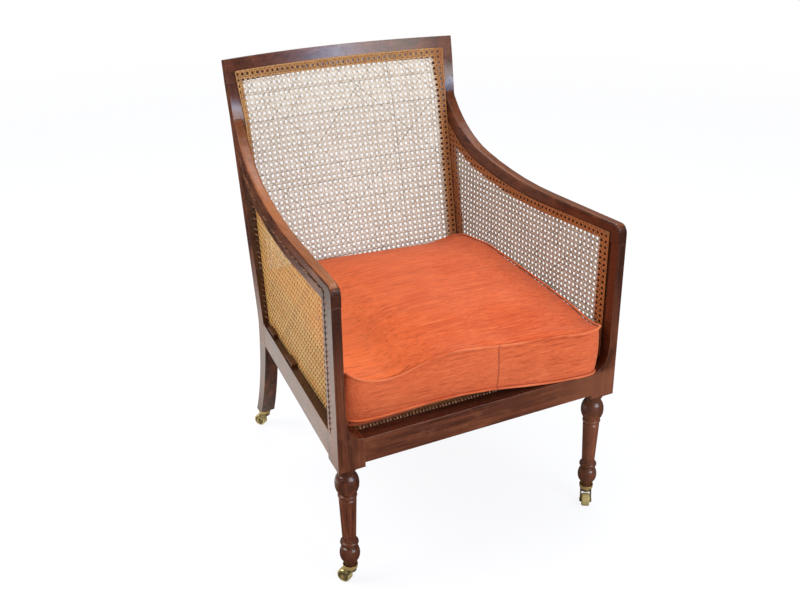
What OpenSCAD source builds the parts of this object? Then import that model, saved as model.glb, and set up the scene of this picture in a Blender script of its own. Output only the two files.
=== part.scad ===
// Caned library armchair: show-wood frame, sabre back legs, turned front legs on swivel casters,
// caned back, sides and seat, and a loose box cushion. Millimetres, +Z up. The chair faces -Y.
// Sizes along Y are taken from the front faces of the front posts; seat_frame() then moves the
// whole chair so that its middle stands over the origin.

/* [Overall] */
// Width across the outer faces of the front posts
front_w = 638; // [610:1:670]
// Width across the back posts at the seat
seat_back_w = 541; // [525:1:560]
// How much wider the back is at the top of the arms than at the seat
arm_flare = 10; // [0:1:24]
// How much wider the crest rail is than the back at the seat
crest_flare = 14; // [4:1:30]
// Depth from the front faces to the back posts, at the top of the side rails
seat_d = 539; // [500:1:580]
// Lean of the back from upright, in degrees
rake_a = 10; // [6:0.5:14]

/* [Front posts and legs] */
// Thickness of the arm support, seen from the front
post_t = 19; // [16:0.5:22]
// Depth of the arm support, seen from the side
post_d = 52; // [46:1:58]
// Width of the square block at the seat rails
block_w = 56; // [52:1:62]
// Depth of that block
block_d = 59; // [58:1:66]
// Underside of the block above the floor
block_z = 290; // [280:1:296]
// Height of the curved bracket between block and arm support
bracket_h = 48; // [30:1:60]
// Depth of that bracket from the front face
bracket_d = 24; // [16:1:25]
// Diameter of the upper bulb of the turned leg
bulb_dia = 49; // [44:0.5:54]
// Height of the upper bulb
bulb_h = 40; // [34:1:46]
// Diameter of the bead under the upper bulb
bead_dia = 39; // [36:0.5:43]
// Diameter of the tapered shaft at its top
shaft_top_dia = 35.5; // [32:0.5:40]
// Diameter of the tapered shaft at its foot
shaft_foot_dia = 28; // [24:0.5:32]
// Diameter of the ring over the lower bulb
ring_dia = 38; // [34:0.5:42]
// Diameter of the lower bulb
low_bulb_dia = 41.5; // [38:0.5:46]
// Height of the lower bulb
low_bulb_h = 31; // [26:1:36]
// Diameter of the leg's end inside the caster dish
leg_end_dia = 22; // [18:0.5:24]

/* [Seat frame] */
// Underside of the seat rails above the floor
rail_z = 300; // [297:1:310]
// Height of the front rail
front_rail_h = 53; // [46:1:56]
// Depth of the front rail
front_rail_d = 56; // [50:1:58]
// Height of the side rails
side_rail_h = 58; // [57:1:64]
// Thickness of the side rails
side_rail_t = 45; // [40:1:50]
// Thickness of the back rail
back_rail_t = 28; // [22:1:32]
// Thickness of the rail tenons
tenon_t = 11; // [8:0.5:13]
// How far a rail tenon enters its post
tenon_l = 20; // [14:1:22]
// Wood left above and below a rail tenon
tenon_shoulder = 9; // [6:1:12]
// Leg of the glued corner braces
brace_l = 62; // [45:1:75]
// Height of the corner braces
brace_h = 26; // [18:1:32]

/* [Arms] */
// Top of the arms at the front, above the floor
arm_z = 676; // [660:1:695]
// Width of an arm at the front
arm_w_front = 20; // [18:0.5:24]
// Width of an arm at the back post
arm_w_back = 24; // [21:0.5:27]
// Depth of an arm at the front, top to underside
arm_d_front = 42; // [38:1:48]
// Depth of an arm at the back post
arm_d_back = 52; // [48:1:56]
// Length of the level stretch of an arm
arm_level = 230; // [180:5:260]
// Radius of the first, slow sweep of an arm
arm_slow_r = 945; // [850:5:1050]
// Angle through which the slow sweep rises, in degrees
arm_slow_a = 14.8; // [12:0.2:17]
// Height at which an arm's top meets the back post
arm_joint_z = 819; // [805:1:835]
// Radius of an arm's front top corner
arm_nose_r = 15; // [8:1:22]
// Rounding along an arm's two top edges
arm_edge_r = 5; // [2:0.5:6]
// Width of the lacing groove in the outer faces
groove_w = 4; // [3:0.5:6]
// Depth of the lacing groove
groove_d = 3.5; // [2:0.5:5]

/* [Back] */
// Width of a back post over the seat, seen from the front
stile_w = 31; // [28:0.5:38]
// Thickness of a back post just over the seat
stile_t_seat = 34; // [30:0.5:38]
// Thickness of a back post at the top of the arms
stile_t_top = 25; // [22:0.5:28]
// Height of the joint between post heads and crest rail
crest_joint_z = 897; // [885:1:905]
// Height of the crest rail's front face at its ends
crest_h = 48.5; // [42:0.5:54]
// Rise of the crest rail's arch in its middle
crest_rise = 5.5; // [2:0.5:14]
// Rise of the crest rail's underside between the posts
crest_under_rise = 5; // [2:1:10]
// Rise of the back cane's top edge
cane_rise = 4; // [1:1:8]
// How far each edge of the back cane spreads between the arms and the crest rail
cane_spread = 6.5; // [0:0.5:8]
// How far the crest rail bows back in its middle, seen from above
crest_bow = 50; // [20:1:70]
// Thickness of the crest rail and the post heads
crest_t = 24; // [20:0.5:28]
// Underside of the lower back rail above the floor
low_rail_z = 388; // [380:1:400]
// Height of the lower back rail
low_rail_h = 34; // [28:1:40]
// Thickness of the lower back rail
low_rail_t = 22; // [18:0.5:24]
// Middle of a sabre leg's foot, from the chair's middle plane
foot_x = 242; // [234:1:250]
// Middle of a sabre leg's foot, from the front faces
foot_y = 675; // [650:1:690]
// Width of a sabre leg's foot
foot_w = 34; // [30:1:38]
// Depth of a sabre leg's foot
foot_t = 32; // [28:1:36]

/* [Cane] */
// Thickness of the woven cane
cane_t = 2; // [1.5:0.1:3]
// Bare wood between an arm's top and its cane
arm_bare = 22; // [20:1:26]
// Bare wood in front of the side cane
post_bare = 25; // [25:1:30]
// Depth of front rail left bare before the seat cane
front_bare = 38; // [34:1:42]
// Bare wood above the back cane on the crest rail
crest_bare = 26.5; // [22:0.5:30]
// Spacing of the gaps in the back and side cane
net_pitch = 47; // [46:1:60]
// Spacing of the gaps in the seat cane
seat_net_pitch = 60; // [60:1:80]
// Share of the spacing that is open
net_open = 0.74; // [0.5:0.01:0.8]

/* [Cushion] */
// Height of the cushion's boxing
cushion_box_h = 108; // [80:1:125]
// Crown of the cushion over its top edges
cushion_crown = 25; // [8:1:32]
// Rise of the cushion's top edges from its front to its back
cushion_tilt = 22; // [5:1:30]
// How far the cushion's sides draw in between its corners
cushion_draw = 7; // [0:0.5:10]
// Room between the cushion and the cane at its sides
cushion_gap = 8; // [5:0.5:14]
// Diameter of the piping on the cushion's edges
piping_dia = 6; // [4:0.5:8]

/* [Casters] */
// Diameter of a wheel
wheel_dia = 29; // [26:0.5:31]
// Width of a wheel
wheel_w = 17; // [14:0.5:18]
// Distance between a caster's swivel axis and its axle
trail = 14; // [12:0.5:16]
// Diameter of an axle
axle_dia = 5; // [4:0.25:6]
// Radial running clearance on axles and swivel pins
running_gap = 0.05; // [0.03:0.01:0.08]
// Diameter of the brass dish under a leg
dish_dia = 31; // [28:0.5:34]
// Height of the dish's rim above its floor
dish_h = 10; // [7:0.5:12]
// Diameter of the swivel pin
swivel_dia = 8; // [6:0.5:9]
// Thickness of a fork's cheeks
cheek_t = 3; // [2.5:0.25:3.5]
// Swivel angles at rest, front left, front right, back left, back right
rest_angles = [34, 145, 35, -20];

/* [Hidden] */
$fn = 48;

mahogany = "#5c2a1c";
dark_mahogany = "#43201a";
cane_gold = "#c98f4a";
cushion_red = "#cf5a35";
brass = "#a98c4a";

// Clearance round a tenon or dowel in its hole
fit_gap = 0.1;
// Heights and clearances of the caster's parts, from the floor up
wheel_r = wheel_dia / 2;
crown_gap = 3.5;
crown_t = 5;
swivel_washer = 0.3;
dish_floor = 2.5;
crown_z = wheel_dia + crown_gap;
dish_z = crown_z + crown_t + swivel_washer;
leg_end_z = dish_z + dish_floor;
rim_z = dish_z + dish_h;
fork_gap = 0.8;
axle_head_t = 1.2;
axle_head_dia = axle_dia + 3;
boss_r = axle_dia / 2 + 3.5;
caster_screw_dia = 6;
caster_screw_l = 16;

// Inner face of the front blocks
block_x = front_w / 2 - block_w;

// Leg axes
front_leg_x = front_w / 2 - block_w / 2;
front_leg_y = block_d / 2;
LEG_X = [-front_leg_x, front_leg_x, -foot_x, foot_x];
LEG_Y = [front_leg_y, front_leg_y, foot_y, foot_y];

// How far back the wheels reach, for whichever back wheel reaches further
wheel_chamfer = 2.2;
function back_reach(a) = (trail + wheel_r) * cos(a) + (wheel_w / 2 - wheel_chamfer) * abs(sin(a));
wheel_reach = foot_y + max(back_reach(rest_angles[2]), back_reach(rest_angles[3]));

// Heights
front_rail_top = rail_z + front_rail_h;
side_rail_top = rail_z + side_rail_h;
cane_seat_z = front_rail_top - 3;
arm_under_z = arm_z - arm_d_front;

// Width across the back posts at the top of the arms, and of the crest rail
arm_back_w = seat_back_w + arm_flare;
crest_w = seat_back_w + crest_flare;
// Front face of the back posts at height z, and the outer face of a post's back at the arm
function rake_y(z) = seat_d + (z - side_rail_top) * tan(rake_a);
arm_len = rake_y(arm_joint_z);
function outer_x(y) = front_w / 2 - (front_w - arm_back_w) / 2 * y / arm_len;
function arm_w(y) = arm_w_front + (arm_w_back - arm_w_front) * y / arm_len;
function inner_x(y) = outer_x(y) - arm_w(y);
// Opening between the back posts
back_gap_w = seat_back_w - 2 * stile_w;
// Edge of the higher wood that the side cane stands on
function cane_seat_x(y) = inner_x(y) - cane_t - 1;
// Room between the cane panels where they meet at the back corners
cane_gap = 0.5;
back_cane_half_w = inner_x(arm_len) - cane_t - cane_gap;
rail_slope = (seat_back_w / 2 - outer_x(block_d)) / (seat_d - block_d);
function rail_outer_x(y) = outer_x(block_d) + rail_slope * (y - block_d);
function rail_inner_x(y) = rail_outer_x(y) - side_rail_t;
function rake_len(z) = (z - side_rail_top) / cos(rake_a);
head_z0 = rake_len(arm_joint_z);
head_z1 = rake_len(crest_joint_z);

// The back is bowed in plan. This is how far the crest rail's front face lies behind its ends at x.
crest_half = crest_w / 2;
function crest_face(x) = crest_bow * (1 - pow(x / crest_half, 2));
// Depth of the whole chair, from the front faces to the wheels or to the crest rail's back
crest_reach = seat_d + (head_z1 + crest_h + crest_rise) * sin(rake_a) + (crest_bow + crest_t) * cos(rake_a);
overall_d = max(wheel_reach, crest_reach);

// Points of a shallow arch over the middle plane: an arc of circle from x0 to x1 = -x0, with both ends
// at height z and the middle higher by rise
function arch_z(x, half, z, rise) = let(r = (half * half + rise * rise) / (2 * rise))
    z + rise - r + sqrt(r * r - x * x);
function arch(x0, x1, z, rise, n) =
    [for (i = [0:n]) let(x = x0 + (x1 - x0) * i / n) [x, arch_z(x, abs(x0), z, rise)]];

// The arm's top line in side view: level, a slow sweep, and a quick sweep up to the back post.
// Each station is [y, z, slope in degrees].
slow_end = [arm_level + arm_slow_r * sin(arm_slow_a), arm_z + arm_slow_r * (1 - cos(arm_slow_a))];
quick_chord = [arm_len - slow_end[0], arm_joint_z - slow_end[1]];
quick_a = 2 * atan2(quick_chord[1], quick_chord[0]) - arm_slow_a;
quick_r = norm(quick_chord) / (2 * sin((quick_a - arm_slow_a) / 2));
function slow_station(a) = [arm_level + arm_slow_r * sin(a), arm_z + arm_slow_r * (1 - cos(a)), a];
function quick_station(a) = [slow_end[0] + quick_r * (sin(a) - sin(arm_slow_a)),
    slow_end[1] + quick_r * (cos(arm_slow_a) - cos(a)), a];
past_joint = 12;
arm_over_post = post_d + 2;
arm_line = concat(
    [for (y = [0, arm_over_post, (arm_over_post + arm_level) / 2]) [y, arm_z, 0]],
    [for (i = [0:5]) slow_station(arm_slow_a * i / 5)],
    [for (i = [1:9]) quick_station(arm_slow_a + (quick_a - arm_slow_a) * i / 9)],
    [[arm_len + past_joint * cos(quick_a), arm_joint_z + past_joint * sin(quick_a), quick_a]]);
// The same line set down by a depth square to the slope
function below(st, d) = [st[0] + d * sin(st[2]), st[1] - d * cos(st[2])];
function arm_growth(y) = (arm_d_back - arm_d_front) * max(0, y - arm_over_post) / (arm_len - arm_over_post);
function arm_depth(y) = arm_d_front + arm_growth(y);
function bare_depth(y) = arm_bare + arm_growth(y);
// Height of the arm's underside at y, read off the underside's points
under_line = [for (st = arm_line) below(st, arm_depth(st[0]))];
function under_z(y) = lookup(y, under_line);

module seat_frame() translate([0, -overall_d / 2, 0]) children();
// s = 1 draws a right-hand piece as it is, s = -1 mirrors it to the left
module hand(s) if (s < 0) mirror([1, 0, 0]) children(); else children();
// Outline in (y, z), given a thickness along X
module side_plate(x0, x1) translate([x0, 0, 0]) rotate([90, 0, 90]) linear_extrude(x1 - x0) children();
// Outline in (x, z), given a thickness along Y
module front_plate(y0, y1) translate([0, y1, 0]) rotate([90, 0, 0]) linear_extrude(y1 - y0) children();
// The plane of the back: x across, z up its slope from the side rails' top, y behind it
module on_rake() translate([0, seat_d, side_rail_top]) rotate([-rake_a, 0, 0]) children();
module box(lo, hi) translate(lo) cube(hi - lo);

// Lacing groove, along the arm below its top edge and down the front post
groove_y = (post_bare + post_d) / 2;
module lacing_groove() {
    past = [for (st = arm_line) if (st[0] > groove_y) st];
    upper = [for (st = past) below(st, bare_depth(st[0]) - groove_w / 2)];
    lower = [for (st = past) below(st, bare_depth(st[0]) + groove_w / 2)];
    turn_z = arm_z - arm_bare;
    intersection() {
        side_plate(0, front_w) polygon(concat(
            [[groove_y - groove_w / 2, side_rail_top], [groove_y - groove_w / 2, turn_z + groove_w / 2]],
            upper, [for (i = [len(lower) - 1:-1:0]) lower[i]],
            [[groove_y + groove_w / 2, turn_z - groove_w / 2], [groove_y + groove_w / 2, side_rail_top]]));
        linear_extrude(front_w * 2) polygon([[outer_x(0) - groove_d, 0], [outer_x(0) + 5, 0],
            [outer_x(arm_len) + 5, arm_len], [outer_x(arm_len) - groove_d, arm_len]]);
    }
}

// Turned front leg: beads, bulbs and a tapered shaft, from the block down to the caster dish. The
// lower turnings stand on the leg's end, the upper ones hang from the block, and the shaft takes the rest.
neck_dia = 34;
low_neck_dia = 27;
bead_h = 9;
ankle_h = 20.2;
collar_h = 25;
// Bulb whose outline sinks by a depth from its middle to its ends; it is an arc of twice an angle
function bulb_line(dia, h, mid_z, sink, turn) =
    [for (a = [-turn:turn / 3:turn]) [dia / 2 - sink * (1 - cos(a)), mid_z + h / 2 * sin(a) / sin(turn)]];
// Bead with a round outline
function bead_line(dia, h, mid_z) =
    [for (a = [-90:30:90]) [dia / 2 - 4 + 4 * cos(a), mid_z + h / 2 * sin(a)]];
module turned_leg() {
    low_bulb_z = leg_end_z + ankle_h + low_bulb_h / 2;
    ring_z = low_bulb_z + low_bulb_h / 2 + 7 + bead_h / 2;
    shaft_z0 = ring_z + bead_h / 2 + 5.5;
    bulb_z = block_z - collar_h - bulb_h / 2;
    bead_z = bulb_z - bulb_h / 2 - 3.5 - bead_h / 2;
    shaft_z1 = bead_z - bead_h / 2 - 5.5;
    collar_z = bulb_z + bulb_h / 2;
    rotate_extrude() polygon(concat(
        [[0, leg_end_z], [leg_end_dia / 2, leg_end_z], [leg_end_dia / 2 + 1, leg_end_z + ankle_h * 0.6]],
        bulb_line(low_bulb_dia, low_bulb_h, low_bulb_z, 9, 60),
        [[low_neck_dia / 2, ring_z - bead_h / 2 - 5], [low_neck_dia / 2 + 0.3, ring_z - bead_h / 2 - 1.5]],
        bead_line(ring_dia, bead_h, ring_z),
        [[shaft_foot_dia / 2 + 1.5, shaft_z0 - 4], [shaft_foot_dia / 2, shaft_z0],
            [shaft_top_dia / 2, shaft_z1], [shaft_top_dia / 2 - 2, shaft_z1 + 4]],
        bead_line(bead_dia, bead_h, bead_z),
        [[neck_dia / 2, bead_z + bead_h / 2 + 1.5]],
        bulb_line(bulb_dia, bulb_h, bulb_z, 14, 54),
        [[neck_dia / 2, collar_z + 2], [neck_dia / 2, collar_z + 7]],
        [for (a = [0:30:90]) [neck_dia / 2 + 3 * (1 - cos(a)), collar_z + 10 + 3 * sin(a)]],
        [[neck_dia / 2 + 3.5, block_z], [0, block_z]]));
}

module front_post(s) color(mahogany) hand(s) difference() {
    union() {
        // Arm support, tapering in plan with the side
        linear_extrude_from(block_z, arm_under_z) polygon([[outer_x(0), 0], [outer_x(post_d), post_d],
            [outer_x(post_d) - post_t, post_d], [outer_x(0) - post_t, 0]]);
        // Square block at the rails, higher where it carries the side cane
        linear_extrude_from(block_z, front_rail_top) polygon([[outer_x(0), 0], [outer_x(block_d), block_d],
            [block_x, block_d], [block_x, 0]]);
        linear_extrude_from(block_z, side_rail_top) polygon([[outer_x(0), 0], [outer_x(block_d), block_d],
            [cane_seat_x(block_d), block_d], [cane_seat_x(0), 0]]);
        // Curved bracket from the rail's top up the arm support
        bracket_w = inner_x(0) - block_x;
        front_plate(0, bracket_d) polygon(concat(
            [[inner_x(0) + 2, front_rail_top - 1], [block_x, front_rail_top - 1]],
            [for (a = [270:10:360])
                [block_x + bracket_w * cos(a), front_rail_top + bracket_h * (1 + sin(a))]],
            [[inner_x(0) + 2, front_rail_top + bracket_h]]));
        // Tenon into the arm
        arm_tenon();
        translate([front_leg_x, front_leg_y, 0]) turned_leg();
    }
    front_rail_tenon(fit_gap);
    side_rail_tenon_front(fit_gap);
    lacing_groove();
    translate([front_leg_x, front_leg_y, leg_end_z - 1])
        cylinder(h = caster_screw_l + 1 + fit_gap, r = caster_screw_dia / 2 + fit_gap);
}
module linear_extrude_from(z0, z1) translate([0, 0, z0]) linear_extrude(z1 - z0) children();

// Tenons and dowels are drawn twice: as they are, and grown by a gap to cut their holes
arm_tenon_y = 10;
arm_tenon_d = 24;
arm_tenon_t = 8;
arm_tenon_h = 20;
module arm_tenon(gap = 0) {
    x = outer_x(arm_tenon_y + arm_tenon_d / 2) - post_t / 2 - 1;
    box([x - arm_tenon_t / 2 - gap, arm_tenon_y - gap, arm_under_z - 1],
        [x + arm_tenon_t / 2 + gap, arm_tenon_y + arm_tenon_d + gap, arm_under_z + arm_tenon_h + gap]);
}
module front_rail_tenon(gap = 0) box([block_x - 1, 14 - gap, rail_z + tenon_shoulder - gap],
    [block_x + tenon_l + gap, 14 + tenon_t + gap, front_rail_top - tenon_shoulder + gap]);
module side_rail_tenon_front(gap = 0) {
    x = (rail_outer_x(block_d) + rail_inner_x(block_d)) / 2;
    box([x - tenon_t / 2 - gap, block_d - tenon_l - gap, rail_z + tenon_shoulder - gap],
        [x + tenon_t / 2 + gap, block_d + 1, side_rail_top - tenon_shoulder + gap]);
}
back_tenon_x = seat_back_w / 2 - 10 - tenon_t;
module side_rail_tenon_back(gap = 0) box([back_tenon_x - gap, seat_d - 8, rail_z + tenon_shoulder - gap],
    [back_tenon_x + tenon_t + gap, seat_d + tenon_l + gap, side_rail_top - tenon_shoulder + gap]);
back_rail_y = seat_d + 6;
back_rail_tenon_l = back_tenon_x - back_gap_w / 2 - 3;
module back_rail_tenon(gap = 0) {
    y = back_rail_y + back_rail_t / 2;
    box([back_gap_w / 2 - 1, y - tenon_t / 2 - gap, rail_z + tenon_shoulder - gap],
        [back_gap_w / 2 + back_rail_tenon_l + gap, y + tenon_t / 2 + gap,
            cane_seat_z - tenon_shoulder + gap]);
}
low_z0 = rake_len(low_rail_z);
low_z1 = low_z0 + low_rail_h;
module low_rail_tenon(gap = 0) on_rake()
    box([back_gap_w / 2 - 1, low_rail_t / 2 - tenon_t / 2 - gap, low_z0 + tenon_shoulder - gap],
        [back_gap_w / 2 + tenon_l + gap, low_rail_t / 2 + tenon_t / 2 + gap, low_z1 - tenon_shoulder + gap]);

module front_seat_rail() color(mahogany) seat_frame() difference() {
    union() {
        box([-block_x, 0, rail_z], [block_x, front_rail_d, front_rail_top]);
        for (s = [-1, 1]) hand(s) front_rail_tenon();
    }
    // Rebate for the edge of the seat cane
    box([-block_x - 1, front_bare, cane_seat_z], [block_x + 1, front_rail_d + 1, front_rail_top + 1]);
}

module side_seat_rail(s) color(mahogany) seat_frame() hand(s) difference() {
    union() {
        linear_extrude_from(rail_z, side_rail_top) polygon([
            [rail_outer_x(block_d), block_d], [rail_outer_x(seat_d), seat_d],
            [rail_inner_x(seat_d), seat_d], [rail_inner_x(block_d), block_d]]);
        side_rail_tenon_front();
        intersection() {
            side_rail_tenon_back();
            box([0, seat_d - 8, 0], [front_w, seat_d + tenon_l, arm_z]);
        }
    }
    // Rebate for the edge of the seat cane, inside the side cane
    linear_extrude_from(cane_seat_z, side_rail_top + 1) polygon([[cane_seat_x(block_d), block_d],
        [cane_seat_x(seat_d), seat_d], [cane_seat_x(seat_d), seat_d + 1], [0, seat_d + 1], [0, block_d - 1],
        [cane_seat_x(block_d), block_d - 1]]);
}

module back_seat_rail() color(dark_mahogany) seat_frame() {
    box([-back_gap_w / 2, back_rail_y, rail_z], [back_gap_w / 2, back_rail_y + back_rail_t, cane_seat_z]);
    for (s = [-1, 1]) hand(s) back_rail_tenon();
}

module lower_back_rail() color(dark_mahogany) seat_frame() {
    on_rake() box([-back_gap_w / 2, 0, low_z0], [back_gap_w / 2, low_rail_t, low_z1]);
    for (s = [-1, 1]) hand(s) low_rail_tenon();
}

// Triangular blocks glued inside the four corners of the seat frame
module corner_braces() color(dark_mahogany) seat_frame() for (s = [-1, 1]) hand(s) {
    front_y = block_d;
    back_y = seat_d;
    z0 = rail_z + 8;
    linear_extrude_from(z0, z0 + brace_h) {
        polygon([[rail_inner_x(front_y), front_y], [rail_inner_x(front_y + brace_l), front_y + brace_l],
            [block_x - brace_l, front_rail_d], [block_x, front_rail_d], [block_x, front_y]]);
        polygon([[rail_inner_x(back_y), back_y], [rail_inner_x(back_y - brace_l), back_y - brace_l],
            [rail_inner_x(back_y) - brace_l, back_rail_y], [back_gap_w / 2, back_rail_y],
            [back_gap_w / 2, back_y]]);
    }
}

// Small packing blocks on the ledge of each side rail, outside the cane: how far each one's rear end
// lies before the back posts, and its length
ledge_block_back = [183, 31];
ledge_block_l = [44, 48];
block_h = 7;
block_y = [for (i = [0, 1]) let(y = seat_d - ledge_block_back[i]) [y - ledge_block_l[i], y]];
module ledge_blocks() color(dark_mahogany) seat_frame() for (s = [-1, 1]) hand(s) for (b = block_y)
    linear_extrude_from(side_rail_top, side_rail_top + block_h) polygon([
        [rail_outer_x(b[0]) - 3, b[0]], [rail_outer_x(b[1]) - 3, b[1]],
        [inner_x(b[1]) + 0.5, b[1]], [inner_x(b[0]) + 0.5, b[0]]]);

// Back post: raked stile above the seat, sabre leg below it, one piece of wood
leg_turn = 8;
module back_post(s) color(mahogany) hand(s) {
    t = stile_t_top;
    top_z = arm_joint_z;
    foot_front = [foot_y - foot_t / 2, leg_end_z];
    foot_rear = [foot_y + foot_t / 2, leg_end_z];
    hip_front = [seat_d, rail_z];
    hip_rear = [seat_d + stile_t_seat + 5, rail_z];
    difference() {
        intersection() {
            side_plate(0, front_w) polygon(concat(
                [[rake_y(top_z), top_z], [seat_d, side_rail_top]],
                bowed(hip_front, foot_front, leg_turn, 8),
                bowed(foot_rear, hip_rear, -leg_turn - 2, 9),
                [[seat_d + stile_t_seat + 1, side_rail_top - 10],
                    [rake_y(side_rail_top + 20) + stile_t_seat, side_rail_top + 20],
                    [rake_y(top_z) + t * cos(rake_a), top_z - t * sin(rake_a)]]));
            // Seen from the front the leg draws in below the seat
            front_plate(0, overall_d) polygon([
                [back_gap_w / 2, top_z + 1], [arm_back_w / 2, top_z + 1],
                [seat_back_w / 2, side_rail_top], [seat_back_w / 2, rail_z],
                [foot_x + foot_w / 2, leg_end_z + 20], [foot_x + foot_w / 2, 0],
                [foot_x - foot_w / 2, 0], [foot_x - foot_w / 2, leg_end_z + 20],
                [back_gap_w / 2, rail_z - 2]]);
            // The foot is pared to a cone that drops into the caster dish
            union() {
                box([0, 0, rim_z + 9], [front_w, overall_d, arm_z * 2]);
                translate([foot_x, foot_y, 0]) rotate_extrude() polygon([
                    [0, leg_end_z], [leg_end_dia / 2, leg_end_z],
                    [leg_end_dia / 2 + 1, rim_z + 0.5], [foot_w, rim_z + 12], [0, rim_z + 12]]);
            }
        }
        side_rail_tenon_back(fit_gap);
        back_rail_tenon(fit_gap);
        low_rail_tenon(fit_gap);
        stile_tenon(fit_gap);
        arm_dowel(fit_gap);
        translate([foot_x, foot_y, leg_end_z - 1])
            cylinder(h = caster_screw_l + 1 + fit_gap, r = caster_screw_dia / 2 + fit_gap);
    }
}
// Points of a bowed line between two points that turns by 2 * turn degrees on its way
function bowed(p, q, turn, n) = let(d = q - p, r = norm(d) / (2 * sin(turn)), a = atan2(d[1], d[0]))
    [for (i = [0:n]) let(b = a + turn * (2 * i / n - 1))
        p + [r * (sin(b) - sin(a - turn)), r * (cos(a - turn) - cos(b))]];

// Upper stretch of a back post, jointed to the post below and to the crest rail above. Its section
// turns on the way up, from the straight post's to the bowed crest rail's.
module post_head(s) color(mahogany) hand(s) difference() {
    on_rake() tube([for (i = [4:-1:0]) let(
            f = i / 4,
            x0 = back_gap_w / 2,
            x1 = (arm_back_w + (crest_w - arm_back_w) * f) / 2,
            z = head_z0 + (head_z1 - head_z0) * f)
        [[x0, crest_face(x0) * f, z], [x1, crest_face(x1) * f, z],
            [x1, crest_face(x1) * f + crest_t, z], [x0, crest_face(x0) * f + crest_t, z]]]);
    stile_tenon(fit_gap);
}

// Loose tenon through a post head into the post below and the crest rail above
stile_tenon_w = 16;
stile_tenon_t = 6;
stile_tenon_reach = 24;
stile_tenon_x = (back_gap_w + arm_back_w) / 4 - stile_tenon_w / 2;
stile_tenon_y = (crest_face(stile_tenon_x) + crest_t) / 2;
module stile_tenon(gap = 0) {
    z0 = head_z0 - stile_tenon_reach;
    z1 = head_z1 + stile_tenon_reach;
    on_rake() box([stile_tenon_x - gap, stile_tenon_y - stile_tenon_t / 2 - gap, z0 - gap],
        [stile_tenon_x + stile_tenon_w + gap, stile_tenon_y + stile_tenon_t / 2 + gap, z1 + gap]);
}
module stile_tenons() color(dark_mahogany) seat_frame() for (s = [-1, 1]) hand(s) stile_tenon();

// Crest rail: arched seen from the front, bowed back seen from above
crest_steps = 24;
module crest_rail() color(mahogany) seat_frame() difference() {
    on_rake() intersection() {
        z1 = head_z1 + crest_h;
        half = crest_half;
        front_plate(-1, crest_bow + crest_t + 1) polygon(concat(
            [[-half, head_z1]],
            arch(-back_gap_w / 2, back_gap_w / 2, head_z1, crest_under_rise, 12),
            [[half, head_z1]], arch(half, -half, z1, crest_rise, 16)));
        linear_extrude_from(head_z0, z1 + crest_rise + 1) polygon(concat(
            [for (i = [0:crest_steps]) let(x = -half + crest_w * i / crest_steps) [x, crest_face(x)]],
            [for (i = [crest_steps:-1:0]) let(x = -half + crest_w * i / crest_steps)
                [x, crest_face(x) + crest_t]]));
    }
    for (s = [-1, 1]) hand(s) stile_tenon(fit_gap);
}

// Arm: one swept member. Its section is rounded along both top edges, widens and deepens towards
// the back, and follows the arm's line in side view and the side's taper in plan. Each station is
// [y, z, slope, how far the rounded nose lies below the top line].
nose_line = [for (a = [0:22.5:90])
    [arm_nose_r * (1 - cos(a)), arm_z - arm_nose_r * (1 - sin(a)), 0, arm_nose_r * (1 - sin(a))]];
arm_stations = concat(nose_line, [for (i = [1:len(arm_line) - 1]) concat(arm_line[i], [0])]);
function arm_ring(st) = let(d = arm_depth(st[0]) - st[3], r = arm_edge_r, c = r * (1 - cos(45)))
    // [distance from the outer face, or from the inner face if negative; depth below the top line]
    [for (p = [[0, d], [0, r], [c, c], [r, 0], [-r, 0], [-c, c], [-0.001, r], [-0.001, d]])
        let(yz = below(st, p[1]), x = p[0] >= 0 ? outer_x(yz[0]) : inner_x(yz[0])) [x - p[0], yz[0], yz[1]]];
module arm(s) color(mahogany) hand(s) difference() {
    tube([for (st = arm_stations) arm_ring(st)]);
    // Cut to the back post's face, the front post's tenon, the dowel and the lacing groove
    on_rake() translate([0, 0, -arm_z]) cube([front_w, arm_z, arm_z * 3]);
    arm_tenon(fit_gap);
    arm_dowel(fit_gap);
    lacing_groove();
}
// Closed solid through rings of equally many points
module tube(rings) {
    n = len(rings[0]);
    m = len(rings);
    // Two triangles for each stretch between neighbouring rings, and a face at either end
    polyhedron(points = [for (ring = rings) each ring], faces = concat(
        [for (j = [0:m - 2], i = [0:n - 1]) let(k = (i + 1) % n) [j * n + i, (j + 1) * n + i, j * n + k]],
        [for (j = [0:m - 2], i = [0:n - 1]) let(k = (i + 1) % n)
            [j * n + k, (j + 1) * n + i, (j + 1) * n + k]],
        [[for (i = [0:n - 1]) i]],
        [[for (i = [n - 1:-1:0]) (m - 1) * n + i]]));
}

// Dowel from each arm into its back post
dowel_dia = 9;
dowel_l = 38;
dowel_z = 772;
dowel_y = rake_y(dowel_z);
module arm_dowel(gap = 0) translate([outer_x(dowel_y) - arm_w_back / 2, dowel_y - dowel_l / 2 - gap, dowel_z])
    rotate([-90, 0, 0]) cylinder(h = dowel_l + 2 * gap, r = dowel_dia / 2 + gap);
module arm_dowels() color(dark_mahogany) seat_frame() for (s = [-1, 1]) hand(s) arm_dowel();

// Flat net: an outline with square gaps wherever keep(gap) leaves a whole one inside
function square_at(c, h) = [c + [-h, -h], c + [h, -h], c + [h, h], c + [-h, h]];
module net(outline, centres, h) {
    n = len(outline);
    points = concat(outline, [for (c = centres) each square_at(c, h)]);
    polygon(points, concat([[for (i = [0:n - 1]) i]],
        [for (k = [0:len(centres) - 1]) [for (i = [0:3]) n + 4 * k + i]]));
}

gap_half = net_pitch * net_open / 2;

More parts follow.
